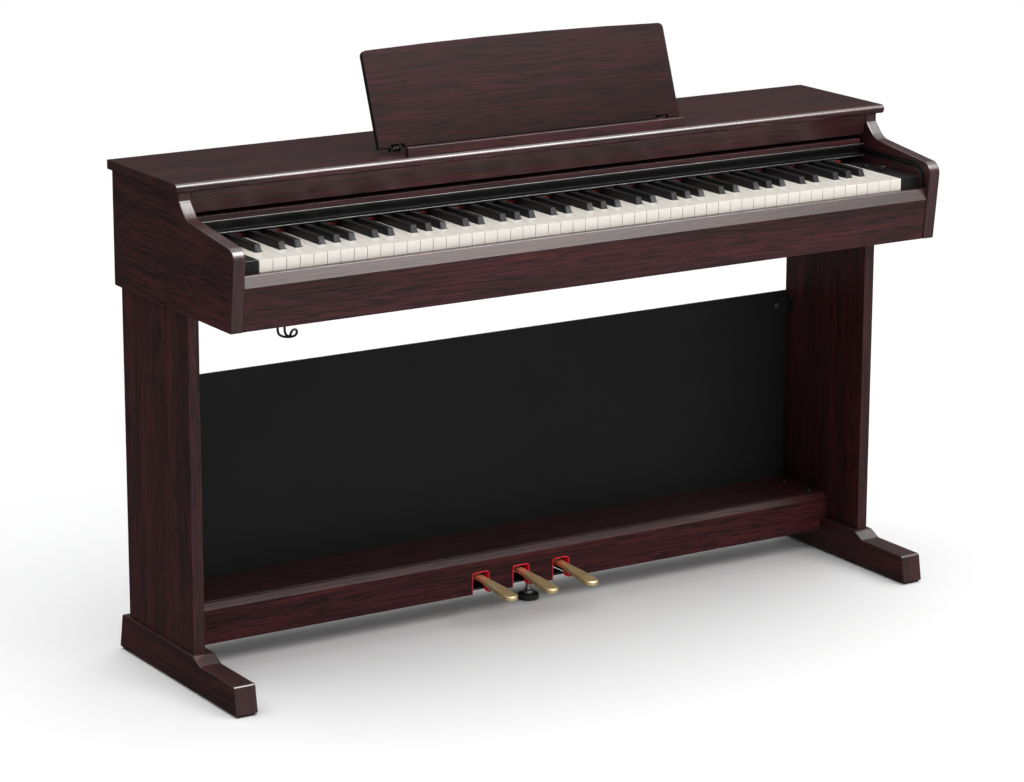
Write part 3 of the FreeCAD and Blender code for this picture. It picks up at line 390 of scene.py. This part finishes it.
# %% [markdown]
# No real edge is a knife edge. A packed mesh is loose triangles, and a bevel would round
# the seams between them too. So each piece starts from a copy of the mesh in which
# triangles that lie flat with each other are joined into whole faces.


# %% Whole faces from a packed node
MERGE_DISTANCE, FLAT_ANGLE = 2e-6, 0.4


def whole_faces(source, name):
    """A mesh with a packed node's shape, its triangles joined into whole faces."""
    shape = bmesh.new()
    shape.from_mesh(source.data)
    bmesh.ops.remove_doubles(shape, verts=shape.verts, dist=MERGE_DISTANCE)
    bmesh.ops.dissolve_limit(
        shape,
        angle_limit=math.radians(FLAT_ANGLE),
        use_dissolve_boundaries=False,
        verts=shape.verts,
        edges=shape.edges,
        delimit=set(),
    )
    mesh = bpy.data.meshes.new(name)
    shape.to_mesh(mesh)
    shape.free()
    return mesh


print("flat faces are joined within", FLAT_ANGLE, "degrees")

# %% [markdown]
# Then a Bevel modifier rounds the edges between those faces by the amount that the
# maker's cutter or mould leaves. A modifier keeps the width in one place and hardens the
# normals, which leaves the flat faces truly flat. Its clamp is off on curved outlines,
# because their short facets would hold the rounding back.


# %% Pieces with soft edges
SMOOTH_ANGLE = 32.0
ROUND_OUTLINES = {
    "left_side_panel", "right_side_panel", "left_foot", "right_foot", "music_rest",
    "left_pedal", "middle_pedal", "right_pedal",
}
pieces = {}


def soften(name, width, material, segments=3, angle=SMOOTH_ANGLE, band=None):
    """A copy of a packed node with rounded edges, standing for that node.

    A band is a second finish and a test that tells from a face's normal whether it gets it.
    """
    source = nodes[name]
    mesh = whole_faces(source, name + "_soft")
    mesh.materials.append(material)
    if band:
        mesh.materials.append(band[0])
        for face in mesh.polygons:
            face.material_index = int(band[1](face.normal))
    mesh.shade_smooth()
    mesh.set_sharp_from_angle(angle=math.radians(angle))
    piece = bpy.data.objects.new(name + "_soft", mesh)
    bpy.context.scene.collection.objects.link(piece)
    edge = piece.modifiers.new("edge", "BEVEL")
    edge.width = width
    edge.segments = segments
    edge.limit_method = "ANGLE"
    edge.angle_limit = math.radians(angle)
    edge.harden_normals = True
    edge.use_clamp_overlap = name not in ROUND_OUTLINES
    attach(piece, source["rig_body"])
    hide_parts(name)
    pieces[name] = piece
    return piece


print("edges sharper than", SMOOTH_ANGLE, "degrees are rounded")

# %% [markdown]
# On the real cabinet the film wraps round the curved outlines and the nose, where it is
# stretched and shines more. The two ends of the music rest are given black: painted
# shade, for the shadow they stand in. Cutting those faces off as pieces would leave seams.
# Each face's normal already tells which it is, so a second finish is given by the normal.


# %% Bands of a second finish
def round_the_outline(normal):
    """True on the faces that run round the outline of an upright panel."""
    return abs(normal.x) < 0.5


def on_the_front(normal):
    """True on faces that look forward and a little up, as on a nose or a sloping lip."""
    return normal.y < -0.3 and normal.z > 0.15


def at_an_end(normal):
    """True on the two end faces of a board that runs along X."""
    return abs(normal.x) > 0.5


BANDS = {
    "left_side_panel": (wood_edge, round_the_outline),
    "right_side_panel": (wood_edge, round_the_outline),
    "left_foot": (wood_edge, round_the_outline),
    "right_foot": (wood_edge, round_the_outline),
    # The music rest's ends are black as painted shade, for the shadow on them.
    "music_rest": (black_board, at_an_end),
    "top_panel": (wood_nose, on_the_front),
    "key_slip": (wood_nose, on_the_front),
}
print("bands on", len(BANDS), "boards")

# %% [markdown]
# The wooden boards come first. Grain follows the long side of each board, as it does when
# a maker cuts them: across on the top and the slip, upright on the legs and front to back
# on the side panels and feet. The numbers are the widths of the rounding in millimetres.

# %% Wooden boards
WOODEN = {
    "top_panel": (0.8, wood_across),
    "left_side_panel": (2.2, wood_deep),
    "right_side_panel": (2.2, wood_deep),
    "front_board": (1.0, wood_across),
    "key_slip": (1.1, wood_across),
    "music_rest": (0.9, wood_rest),
    "music_ledge": (0.9, wood_across),
    "left_leg": (1.3, wood_upright),
    "right_leg": (1.3, wood_upright),
    "left_foot": (2.4, wood_deep),
    "right_foot": (2.4, wood_deep),
    "pedal_box_front": (1.2, wood_matt),
    "pedal_box_shelf": (1.0, wood_across),
    "key_cover": (1.0, wood_across),
}
for name, (width, material) in WOODEN.items():
    soften(name, width * MM, material, band=BANDS.get(name))
print("wooden boards", len(pieces))

# %% [markdown]
# Moulded, painted and metal pieces follow. Moulded corners are rounder than the corners
# of sheet metal, so the widths differ though the helper is the same.

# %% Moulded, painted and metal pieces
MOULDED = {
    "cover_rail": (1.4, rail_gloss),
    "keybed": (0.8, black_board),
    "rear_panel": (0.6, black_board),
    "back_board": (0.7, black_board),
    "felt_bar": (0.6, black_board),
    "left_end_block": (1.1, black_plastic),
    "right_end_block": (1.1, black_plastic),
    "guide_tracks": (0.3, black_plastic),
    "cover_run_rails": (0.6, black_plastic),
    "power_button": (0.7, black_plastic),
    "volume_knob": (1.0, black_plastic),
    "function_buttons": (0.8, black_plastic),
    "headphone_jack_unit": (1.0, black_plastic),
    "socket_panel": (1.0, black_plastic),
    "foot_pads": (0.8, rubber),
    "adjuster_pad": (1.2, rubber),
    "key_felt": (0.8, red_felt),
    "pedal_trims": (0.35, red_lining),
    "steel_brackets": (0.6, black_paint),
    "pedal_chassis": (0.5, black_paint),
    "key_frame": (0.6, black_paint),
    "rest_hinges": (0.5, black_board),
    "rest_supports": (0.4, steel),
    "adjuster_screw": (0.5, steel),
    "left_pedal": (2.4, brass),
    "middle_pedal": (2.4, brass),
    "right_pedal": (2.4, brass),
}
for name, (width, material) in MOULDED.items():
    soften(name, width * MM, material)
print("soft edges on", len(pieces), "pieces")

# %% [markdown]
# Felt is pressed down where the keys' ends rub on it, so it stands lower than the strip
# that was cut. Its copy is lowered towards its own base, which keeps it in its place.

# %% Pressed felt
FELT_PRESSED = 0.55
felt = pieces["key_felt"].data
felt_base = min(corner.co.z for corner in felt.vertices)
for corner in felt.vertices:
    corner.co.z = felt_base + (corner.co.z - felt_base) * FELT_PRESSED
print("felt pressed to", FELT_PRESSED, "of its height")

# %% [markdown]
# The keys. All keys of one note share a node, so a set is rounded at once. A white key is
# rounded with two segments, because its faces meet squarely. A black key has sloping
# faces that meet at shallower angles, so it gets three segments and a finer angle.

# %% Keys
for name in nodes:
    if name.startswith("white_keys"):
        soften(name, 0.9 * MM, ivory, segments=2)
    elif name.startswith("black_keys"):
        soften(name, 1.2 * MM, ebony, segments=3, angle=24.0)
print("key sets", sum("_keys_" in name for name in pieces))

# %% [markdown]
# What is left keeps the model's own mesh and only takes a finish: plain rods, the
# speakers and the electronics, which are round or hidden already. Assigning to the
# object's slots leaves the mesh itself alone.

# %% Finishes on the remaining nodes
PLAIN = {
    "key_pivot_rod": steel,
    "cover_shaft": steel,
    # The pedal shaft is given black paint, as painted shade for the dark inside the pedal box.
    "pedal_shaft": black_paint,
    "speakers": black_paint,
    "main_board": green_board,
}
for name, material in PLAIN.items():
    for index in range(len(nodes[name].material_slots)):
        nodes[name].material_slots[index].material = material
print("plain nodes", len(PLAIN))

# %% [markdown]
# The fittings that follow are new shapes. Each is modelled in a bmesh, straight at its
# place in metres, and one helper turns it into a piece that rides a body and takes a
# finish.


# %% From a bmesh to a piece
def finished(name, shape, material, body):
    """Turns a bmesh into a piece that rides a body."""
    mesh = bpy.data.meshes.new(name)
    shape.to_mesh(mesh)
    shape.free()
    mesh.materials.append(material)
    mesh.shade_smooth()
    mesh.set_sharp_from_angle(angle=math.radians(SMOOTH_ANGLE))
    piece = bpy.data.objects.new(name, mesh)
    bpy.context.scene.collection.objects.link(piece)
    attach(piece, body)
    return piece


print("new pieces are shaded smooth below", SMOOTH_ANGLE, "degrees")

# %% [markdown]
# The moulded rail of the key cover ends in two rounded lips that catch the light. A wider
# bevel would round the rail but not draw a line, so each lip gets a slim bead, a capped rod
# along its front edge, in a paler grey than the black rail: painted highlight for the line
# of light on each lip.


# %% Beads on the cover rail
BEAD, BEAD_PROUD, BEAD_SHORT = 1.3 * MM, 0.25 * MM, 7 * MM


def bead(shape, start, end, radius, sides=20):
    """Adds a capped rod to a bmesh, from start to end along X."""
    middle = (Vector(start) + Vector(end)) / 2
    turned = Matrix.Translation(middle) @ Matrix.Rotation(math.radians(90.0), 4, "Y")
    bmesh.ops.create_cone(
        shape, cap_ends=True, segments=sides, radius1=radius, radius2=radius,
        depth=end[0] - start[0], matrix=turned,
    )


rail_low, rail_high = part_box("cover_rail")
bead_y = rail_low.y + BEAD - BEAD_PROUD
bead_ends = (rail_low.x + BEAD_SHORT, rail_high.x - BEAD_SHORT)
beads = bmesh.new()
for z in (rail_low.z + BEAD, rail_high.z - BEAD):
    bead(beads, *[(x, bead_y, z) for x in bead_ends], BEAD)
rail_beads = finished("cover_rail_beads", beads, bead_painted_highlight, "key_cover")
print("beads", len(rail_beads.data.polygons), "faces")

# %% [markdown]
# The headphone hook is one steel wire held by a small plate under the keybed. Rods joined
# end to end would show their corners. A curve with a round section bends as wire does, and
# the plate is a cube whose edges are rounded by the bevel operator.


# %% Wire and plate
def plate(name, low, high, rounding, material, body):
    """A small block with rounded edges between two corners."""
    shape = bmesh.new()
    bmesh.ops.create_cube(shape, size=1.0)
    size = Vector(high) - Vector(low)
    middle = (Vector(high) + Vector(low)) / 2
    bmesh.ops.scale(shape, vec=size, verts=shape.verts)
    bmesh.ops.translate(shape, vec=middle, verts=shape.verts)
    bmesh.ops.bevel(
        shape, geom=shape.edges[:], offset=rounding, segments=2, affect="EDGES",
        profile=0.5, material=-1,
    )
    return finished(name, shape, material, body)


def wire(name, points, radius, material, body):
    """A round wire along a smooth open curve."""
    curve = bpy.data.curves.new(name, "CURVE")
    curve.dimensions = "3D"
    curve.bevel_depth = radius
    curve.bevel_resolution = 4
    curve.use_fill_caps = True
    curve.resolution_u = 8
    spline = curve.splines.new("NURBS")
    spline.points.add(len(points) - 1)
    for point, place in zip(spline.points, points):
        point.co = (*place, 1.0)
    spline.order_u = 4
    spline.use_endpoint_u = True
    curve.materials.append(material)
    piece = bpy.data.objects.new(name, curve)
    bpy.context.scene.collection.objects.link(piece)
    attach(piece, body)
    return piece


hook_low, hook_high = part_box("headphone_hook")
print("hook is", [round(side / MM) for side in hook_high - hook_low], "mm")

# %% [markdown]
# Its two legs come down from the plate and run forward together, and between them the
# wire makes an upright ring. Six points go round the ring, each a little nearer the
# player than the last, so that the wire passes beside itself. Points are in millimetres
# from the middle of the plate.


# %% Headphone hook
hook_x = (hook_low.x + hook_high.x) / 2
hook_y = hook_high.y - 7 * MM
bed_z = hook_high.z
LEG_HALF, RING_RADIUS, WIRE_RADIUS = 6.0, 6.5, 1.9 * MM
RING_MIDDLE = Vector((8.5, -24.0, -11.5))
RING_START, RING_STEP, RING_LEAN = -100, 55, 1.5
PLATE_HALF = (12 * MM, 7 * MM)
PLATE_THICKNESS = 1.6 * MM


def hook_leg(side):
    """One leg, from the plate down and forward to the foot of the ring."""
    return [
        (side * LEG_HALF, 0.0, -1.0),
        (side * LEG_HALF, 0.0, -9.0),
        (side * LEG_HALF, -0.5, -16.5),
        (side * 4.5 + 1.0, -8.0, -19.2),
        (side * 2.2 + 4.0, -16.0, -19.4),
    ]


ring_turns = [math.radians(RING_START + RING_STEP * step) for step in range(6)]
ring_points = [
    (
        RING_MIDDLE.x + RING_RADIUS * math.cos(angle),
        RING_MIDDLE.y + RING_LEAN - step,
        RING_MIDDLE.z + RING_RADIUS * math.sin(angle),
    )
    for step, angle in enumerate(ring_turns)
]
hook_points = [
    (hook_x + x * MM, hook_y + y * MM, bed_z + z * MM)
    for x, y, z in hook_leg(-1) + ring_points + hook_leg(1)[::-1]
]
hook = wire("hook_wire", hook_points, WIRE_RADIUS, black_paint, "cabinet")
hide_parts("headphone_hook")
plate(
    "hook_plate",
    (hook_x - PLATE_HALF[0], hook_y - PLATE_HALF[1], bed_z - PLATE_THICKNESS),
    (hook_x + PLATE_HALF[0], hook_y + PLATE_HALF[1], bed_z),
    0.5 * MM, black_paint, "cabinet",
)
print("hook at", round(hook_x, 3), round(hook_y, 3))

# %% [markdown]
# Several small parts are made pointing up at the origin and then turned and set in place.
# When many share one bmesh, only the part just made may move, so a helper finds every
# corner that hangs together with one of its faces.


# %% Standing a part in its place
def connected(face):
    """Every corner that can be reached from a face along edges."""
    found = set(face.verts)
    waiting = list(found)
    while waiting:
        corner = waiting.pop()
        for edge in corner.link_edges:
            other = edge.other_vert(corner)
            if other not in found:
                found.add(other)
                waiting.append(other)
    return list(found)


def stand(shape, corners, centre, facing):
    """Turns corners from facing up to facing a direction, and moves them to a centre."""
    turn = Vector((0, 0, 1)).rotation_difference(Vector(facing)).to_matrix()
    bmesh.ops.rotate(shape, cent=(0, 0, 0), matrix=turn, verts=corners)
    bmesh.ops.translate(shape, vec=centre, verts=corners)


print("helpers", connected.__name__, stand.__name__)

# %% [markdown]
# Screws hold the shelf, the brackets and the rear boards. A socket could be cut with a
# boolean, but that leaves ragged faces on something so small. A head starts instead as a
# short cylinder with a rounded rim. Its top face is inset, the inset corners are moved
# onto a hexagon, and that face is pushed in to make the socket. The numbers are shares of
# the head's radius and height.


# %% Screw heads
SCREW_SIDES = 24
RIM_ROUNDING, LAND, SOCKET_HALF, SOCKET_DEPTH = 0.45, 0.2, 0.42, 0.6
HEXAGON_TURN = math.pi / 3


def top_face(corners):
    """The highest of the faces that meet at some corners."""
    faces = {face for corner in corners for face in corner.link_faces}
    return max(faces, key=lambda face: face.calc_center_median().z)


def screw(shape, centre, facing, radius, height):
    """Adds one screw head to a bmesh, standing on centre and facing along a direction."""
    corners = bmesh.ops.create_cone(
        shape, cap_ends=True, segments=SCREW_SIDES, radius1=radius, radius2=radius, depth=height
    )["verts"]
    bmesh.ops.translate(shape, vec=(0, 0, height / 2), verts=corners)
    rounded = bmesh.ops.bevel(
        shape, geom=top_face(corners).edges[:], offset=height * RIM_ROUNDING, segments=3,
        affect="EDGES", profile=0.5, material=-1,
    )["verts"]
    top = top_face({v for v in set(corners) | set(rounded) if v.is_valid})
    bmesh.ops.inset_region(shape, faces=[top], thickness=radius * LAND)
    for corner in top.verts:
        angle = math.atan2(corner.co.y, corner.co.x)
        lean = (angle + HEXAGON_TURN / 2) % HEXAGON_TURN - HEXAGON_TURN / 2
        reach = radius * SOCKET_HALF / math.cos(lean)
        corner.co.x, corner.co.y = reach * math.cos(angle), reach * math.sin(angle)
    sunk = bmesh.ops.extrude_discrete_faces(shape, faces=[top])["faces"]
    bmesh.ops.translate(shape, vec=(0, 0, -height * SOCKET_DEPTH), verts=sunk[0].verts)
    bmesh.ops.remove_doubles(shape, verts=shape.verts, dist=1e-7)
    stand(shape, connected(sunk[0]), centre, facing)


def screw_set(name, places, facing, radius, height, material, body):
    """One piece with a screw head at each place."""
    shape = bmesh.new()
    for place in places:
        screw(shape, place, facing, radius, height)
    return finished(name, shape, material, body)


print("a screw head has", SCREW_SIDES, "sides and a hexagon socket")

# %% [markdown]
# Two black screws at each end of the shelf go down into its cleats, and one bright screw
# holds each corner bracket to the back board. Their places are measured from the legs, so
# they follow the model.

# %% Shelf and bracket screws
SHELF_SCREWS_Y = (74.0, 148.0)
leg_low, leg_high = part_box("right_leg")
shelf_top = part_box("pedal_box_shelf")[1].z
screw_x = leg_low.x - 20 * MM
shelf_places = [(x, y * MM, shelf_top) for x in (-screw_x, screw_x) for y in SHELF_SCREWS_Y]
heads = screw_set(
    "shelf_screws", shelf_places, (0, 0, 1), 5.4 * MM, 2.4 * MM, black_paint, "cabinet"
)
bracket_low, bracket_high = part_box("steel_brackets")
board_y = bracket_high.y - 2 * MM
bracket_z = (bracket_low.z + bracket_high.z) / 2
bracket_x = leg_low.x - 24 * MM
bracket_places = [(x, board_y, bracket_z) for x in (-bracket_x, bracket_x)]
board_heads = screw_set(
    "bracket_screws", bracket_places, (0, -1, 0), 4.5 * MM, 2.4 * MM, steel, "cabinet"
)
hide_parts("screw_heads")
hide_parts("screw_heads")
print("shelf and bracket screws", len(shelf_places) + len(bracket_places))

# %% [markdown]
# The rear panel is screwed on along its top and bottom edges. Seven columns, evenly
# spaced, are what such a long thin board needs to lie flat.

# %% Rear screws
REAR_COLUMNS, REAR_PITCH = 7, 0.21
rear_low, rear_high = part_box("rear_panel")
rear_places = [
    ((column - REAR_COLUMNS // 2) * REAR_PITCH, rear_high.y, z)
    for column in range(REAR_COLUMNS)
    for z in (rear_low.z + 9 * MM, rear_high.z - 14 * MM)
]
screw_set(
    "rear_screws", rear_places, (0, 1, 0), 4.0 * MM, 1.8 * MM, steel, "cabinet"
)
print("rear screws", len(rear_places))

# %% [markdown]
# Behind each opening of the pedal box it is dark. The model's box is open at the back and
# lets the studio's light in, so each opening gets a well: two thin cheeks and a back,
# drawn as one outline and extruded up, so that no daylight shows past the pedal.

# %% Pedal wells
PEDAL_PITCH = 80 * MM
WELL_HALF, WELL_WALL = 16.2 * MM, 0.8 * MM
box_low, box_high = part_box("pedal_box_front")
well_front, well_floor = box_high.y + 1 * MM, box_low.z + 6 * MM
well_roof = box_high.z - 18 * MM
well_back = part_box("pedal_shaft")[1].y + 22 * MM
outer, inner = WELL_HALF + WELL_WALL, WELL_HALF
outline = [(-outer, well_front), (-outer, well_back), (outer, well_back), (outer, well_front)]
outline += [(inner, well_front), (inner, well_back - WELL_WALL)]
outline += [(-inner, well_back - WELL_WALL), (-inner, well_front)]
for side, x in (("left", -PEDAL_PITCH), ("middle", 0.0), ("right", PEDAL_PITCH)):
    shape = bmesh.new()
    base = shape.faces.new([shape.verts.new((x + dx, y, well_floor)) for dx, y in outline])
    raised = bmesh.ops.extrude_face_region(shape, geom=[base])["geom"]
    lifted = [item for item in raised if isinstance(item, bmesh.types.BMVert)]
    bmesh.ops.translate(shape, vec=(0, 0, well_roof - well_floor), verts=lifted)
    bmesh.ops.recalc_face_normals(shape, faces=shape.faces)
    finished(side + "_pedal_well", shape, black_board, "cabinet")
print("pedal wells", round((well_back - well_front) / MM), "mm deep")

# %% [markdown]
# Round parts are lathed: a profile of radius and height is spun about an axis, and the
# corners that meet are merged. Profiles are in millimetres, as a turner would mark them.


# %% A lathe
def lathed(shape, profile, centre, facing, steps=48):
    """Spins a profile of (radius, height) points round an axis and closes it."""
    corners = [shape.verts.new((radius * MM, 0, height * MM)) for radius, height in profile]
    edges = [shape.edges.new(pair) for pair in zip(corners, corners[1:])]
    bmesh.ops.spin(
        shape, geom=corners + edges, cent=(0, 0, 0), axis=(0, 0, 1), angle=2 * math.pi,
        steps=steps, use_merge=True,
    )
    linked = connected(next(iter(corners[0].link_faces)))
    bmesh.ops.remove_doubles(shape, verts=linked, dist=1e-7)
    stand(shape, [corner for corner in linked if corner.is_valid], centre, facing)


print("a lathe turns in", lathed.__defaults__[0], "steps")

# %% [markdown]
# Under the keybed a round of black cloth covers each sound opening, held by a thin ring
# with a lip. A flat disc of cloth is enough, because the weave is in its finish and the
# ring's lip gives it its shadow.

# %% Sound cloth
CLOTH = [(0.0, 3.5), (45.5, 3.5), (45.5, 4.5), (0.0, 4.5)]
RING = [(45.5, -0.8), (50.0, -1.4), (53.0, 0.0), (47.9, 0.0), (47.9, 6.0), (45.5, 6.0)]
speaker_low, speaker_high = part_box("speakers")
speaker_y = (speaker_low.y + speaker_high.y) / 2
speaker_x = speaker_high.x - 56 * MM
bed_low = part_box("keybed")[0].z
cloth = bmesh.new()
ring = bmesh.new()
for x in (-speaker_x, speaker_x):
    lathed(cloth, CLOTH, (x, speaker_y, bed_low), (0, 0, 1))
    lathed(ring, RING + RING[:1], (x, speaker_y, bed_low), (0, 0, 1))
for shape in (cloth, ring):
    bmesh.ops.recalc_face_normals(shape, faces=shape.faces)
finished("sound_cloth_discs", cloth, sound_cloth, "cabinet")
finished("sound_rings", ring, black_plastic, "cabinet")
print("sound cloth at", round(speaker_x, 3))

# %% [markdown]
# The socket box at the back has three jacks. Each is a hollow collar with a rounded rim,
# so its profile is closed on itself and spun as a ring.

# %% Rear jacks
JACK = [(2.232, -4.0), (2.232, 1.6), (2.664, 2.0), (3.744, 2.0), (4.032, 1.6), (4.032, -4.0)]
JACKS_X = (-42.0, -21.0, 0.0)
panel_low, panel_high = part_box("socket_panel")
jack_z = (panel_low.z + panel_high.z) / 2 + 0.1 * MM
sockets = bmesh.new()
for x in JACKS_X:
    lathed(sockets, JACK + JACK[:1], (x * MM, panel_high.y, jack_z), (0, 1, 0), 32)
bmesh.ops.recalc_face_normals(sockets, faces=sockets.faces)
finished("rear_jacks", sockets, steel, "cabinet")
print("rear jacks", len(JACKS_X))

# %% [markdown]
# The studio is plain. A pale floor runs to the horizon. Glossy rays pass through it,
# because a dark polished board that mirrors a white floor looks hazy and grey.

# %% Floor
floor_shape = bmesh.new()
bmesh.ops.create_grid(floor_shape, x_segments=1, y_segments=1, size=30.0)
floor_mesh = bpy.data.meshes.new("studio_floor")
floor_shape.to_mesh(floor_mesh)
floor_shape.free()
pale = Finish("pale_floor", Specular_IOR_Level=0.1)
pale.paint(
    pale.blend(pale.noise(pale.place, 3.0, 2.0), (0.91, 0.91, 0.915), (0.93, 0.93, 0.93)), 0.9
)
floor_mesh.materials.append(pale.material)
floor = bpy.data.objects.new("studio_floor", floor_mesh)
bpy.context.scene.collection.objects.link(floor)
floor.location.z = -0.5 * MM
floor.visible_glossy = False
print("floor", [round(side) for side in floor.dimensions], "m")

# %% [markdown]
# Past the floor's edge a low view would look into the dim band of the sky. A white wall
# far away closes the horizon. Only the camera sees it, so it lights nothing and leaves
# the reflections alone.

# %% Far wall
WALL_DISTANCE, WALL_HEIGHT = 28.0, 40.0
wall_shape = bmesh.new()
bmesh.ops.create_cone(
    wall_shape, cap_ends=False, segments=96, radius1=WALL_DISTANCE, radius2=WALL_DISTANCE,
    depth=WALL_HEIGHT,
)
bmesh.ops.reverse_faces(wall_shape, faces=wall_shape.faces)
wall_mesh = bpy.data.meshes.new("studio_wall")
wall_shape.to_mesh(wall_mesh)
wall_shape.free()
white = Finish("pale_wall", Emission_Strength=0.97, Specular_IOR_Level=0.0)
white.paint(
    white.blend(white.noise(white.place, 0.2), (0.01, 0.01, 0.01), (0.02, 0.02, 0.02)), 0.9
)
white.shader.inputs["Emission Color"].default_value = (1.0, 1.0, 1.0, 1.0)
wall_mesh.materials.append(white.material)
wall = bpy.data.objects.new("studio_wall", wall_mesh)
bpy.context.scene.collection.objects.link(wall)
wall.location.z = WALL_HEIGHT / 2 - 1.0
wall.visible_diffuse = wall.visible_glossy = wall.visible_shadow = False
print("wall", WALL_DISTANCE, "m away")

# %% [markdown]
# The sky is a large soft light, bright overhead and dim near the horizon, so that upright
# boards reflect the dim band and stay dark. A soft glow low at the front opens the faces
# that look at the player. An image of a studio would do this too, but two ramps say it
# exactly.


# %% Sky
def sky(low, high, front):
    """A sky with a bright top and a dim band below it, and a soft glow low at the front."""
    world = bpy.data.worlds.new("studio_sky")
    bpy.context.scene.world = world
    world.use_nodes = True
    links, made = world.node_tree.links, world.node_tree.nodes
    place = made.new("ShaderNodeTexCoord")
    parts = made.new("ShaderNodeSeparateXYZ")
    links.new(place.outputs["Generated"], parts.inputs[0])

    def ramp(axis, start, end, bottom, top):
        step = made.new("ShaderNodeMapRange")
        step.interpolation_type = "SMOOTHSTEP"
        limits = {"From Min": start, "From Max": end, "To Min": bottom, "To Max": top}
        for name, value in limits.items():
            step.inputs[name].default_value = value
        links.new(parts.outputs[axis], step.inputs["Value"])
        return step.outputs["Result"]

    def joined(operation, first, second):
        both = made.new("ShaderNodeMath")
        both.operation = operation
        links.new(first, both.inputs[0])
        links.new(second, both.inputs[1])
        return both.outputs["Value"]

    overhead = ramp("Z", 0.48, 0.86, low, high)
    glow = joined("MULTIPLY", ramp("Y", -0.8, -0.3, front, 0.0), ramp("Z", -0.1, 0.15, 1.0, 0.0))
    links.new(joined("ADD", overhead, glow), made["Background"].inputs["Color"])


sky(low=0.05, high=1.98, front=0.32)
print("sky", bpy.context.scene.world.name)

# %% [markdown]
# Three softboxes shape what the sky leaves flat. A long warm one at the front right draws
# the sheen on the sloping lip. A large one at the front only fills, and is hidden from
# glossy rays, so that no board mirrors it. The last one only glints: it draws the bright
# line along the nose and adds no light to anything else.


# %% Softboxes
def softbox(name, place, target, size, power):
    """A rectangular soft light that faces a target."""
    light = bpy.data.lights.new(name, "AREA")
    light.shape = "RECTANGLE"
    light.size, light.size_y = size
    light.energy = power
    lamp = bpy.data.objects.new(name, light)
    bpy.context.scene.collection.objects.link(lamp)
    lamp.location = place
    aim = Vector(target) - Vector(place)
    lamp.rotation_euler = aim.to_track_quat("-Z", "Y").to_euler()
    return lamp


lip_light = softbox("front_right", (2.2, -2.95, 2.85), (0.0, -0.2, 0.7), (3.2, 0.75), 25.0)
lip_light.data.color = (1.0, 0.91, 0.87)
fill = softbox("front_fill", (0.6, -4.6, 1.4), (0.0, 0.0, 0.5), (2.4, 1.8), 72.0)
fill.visible_glossy = False
nose_strip = softbox("nose_strip", (1.02, -1.15, 2.5), (1.02, 0.0, 0.8), (1.9, 1.1), 145.0)
nose_strip.visible_diffuse = False
print("lights", len(bpy.data.lights))

# %% [markdown]
# The camera stands well back at the bass side and looks slightly down through a long
# lens. A short lens from nearer would fit too, but it would stretch the near end; a long
# one keeps the two ends of the keyboard in proportion. Angles are in degrees.

# %% Camera
LENS, SENSOR = 125.82, 36.0
YAW, PITCH, ROLL = 32.12, -14.54, 0.16
CAMERA_PLACE = (-3.0878, -4.8440, 1.8794)
camera_data = bpy.data.cameras.new("camera")
camera_data.sensor_width = SENSOR
camera_data.lens = LENS
camera_data.clip_end = 200.0
camera = bpy.data.objects.new("camera", camera_data)
bpy.context.scene.collection.objects.link(camera)
turn = Matrix.Rotation(math.radians(-YAW), 4, "Z") @ Matrix.Rotation(
    math.radians(90.0 + PITCH), 4, "X"
)
turn = turn @ Matrix.Rotation(math.radians(ROLL), 4, "Z")
camera.matrix_world = Matrix.Translation(CAMERA_PLACE) @ turn
bpy.context.scene.camera = camera
bpy.context.scene.view_settings.view_transform = "Standard"
print("lens", round(camera_data.lens, 1), "mm")

# %% [markdown]
# Last, the view layer is brought up to date.

# %% Up to date
bpy.context.view_layer.update()
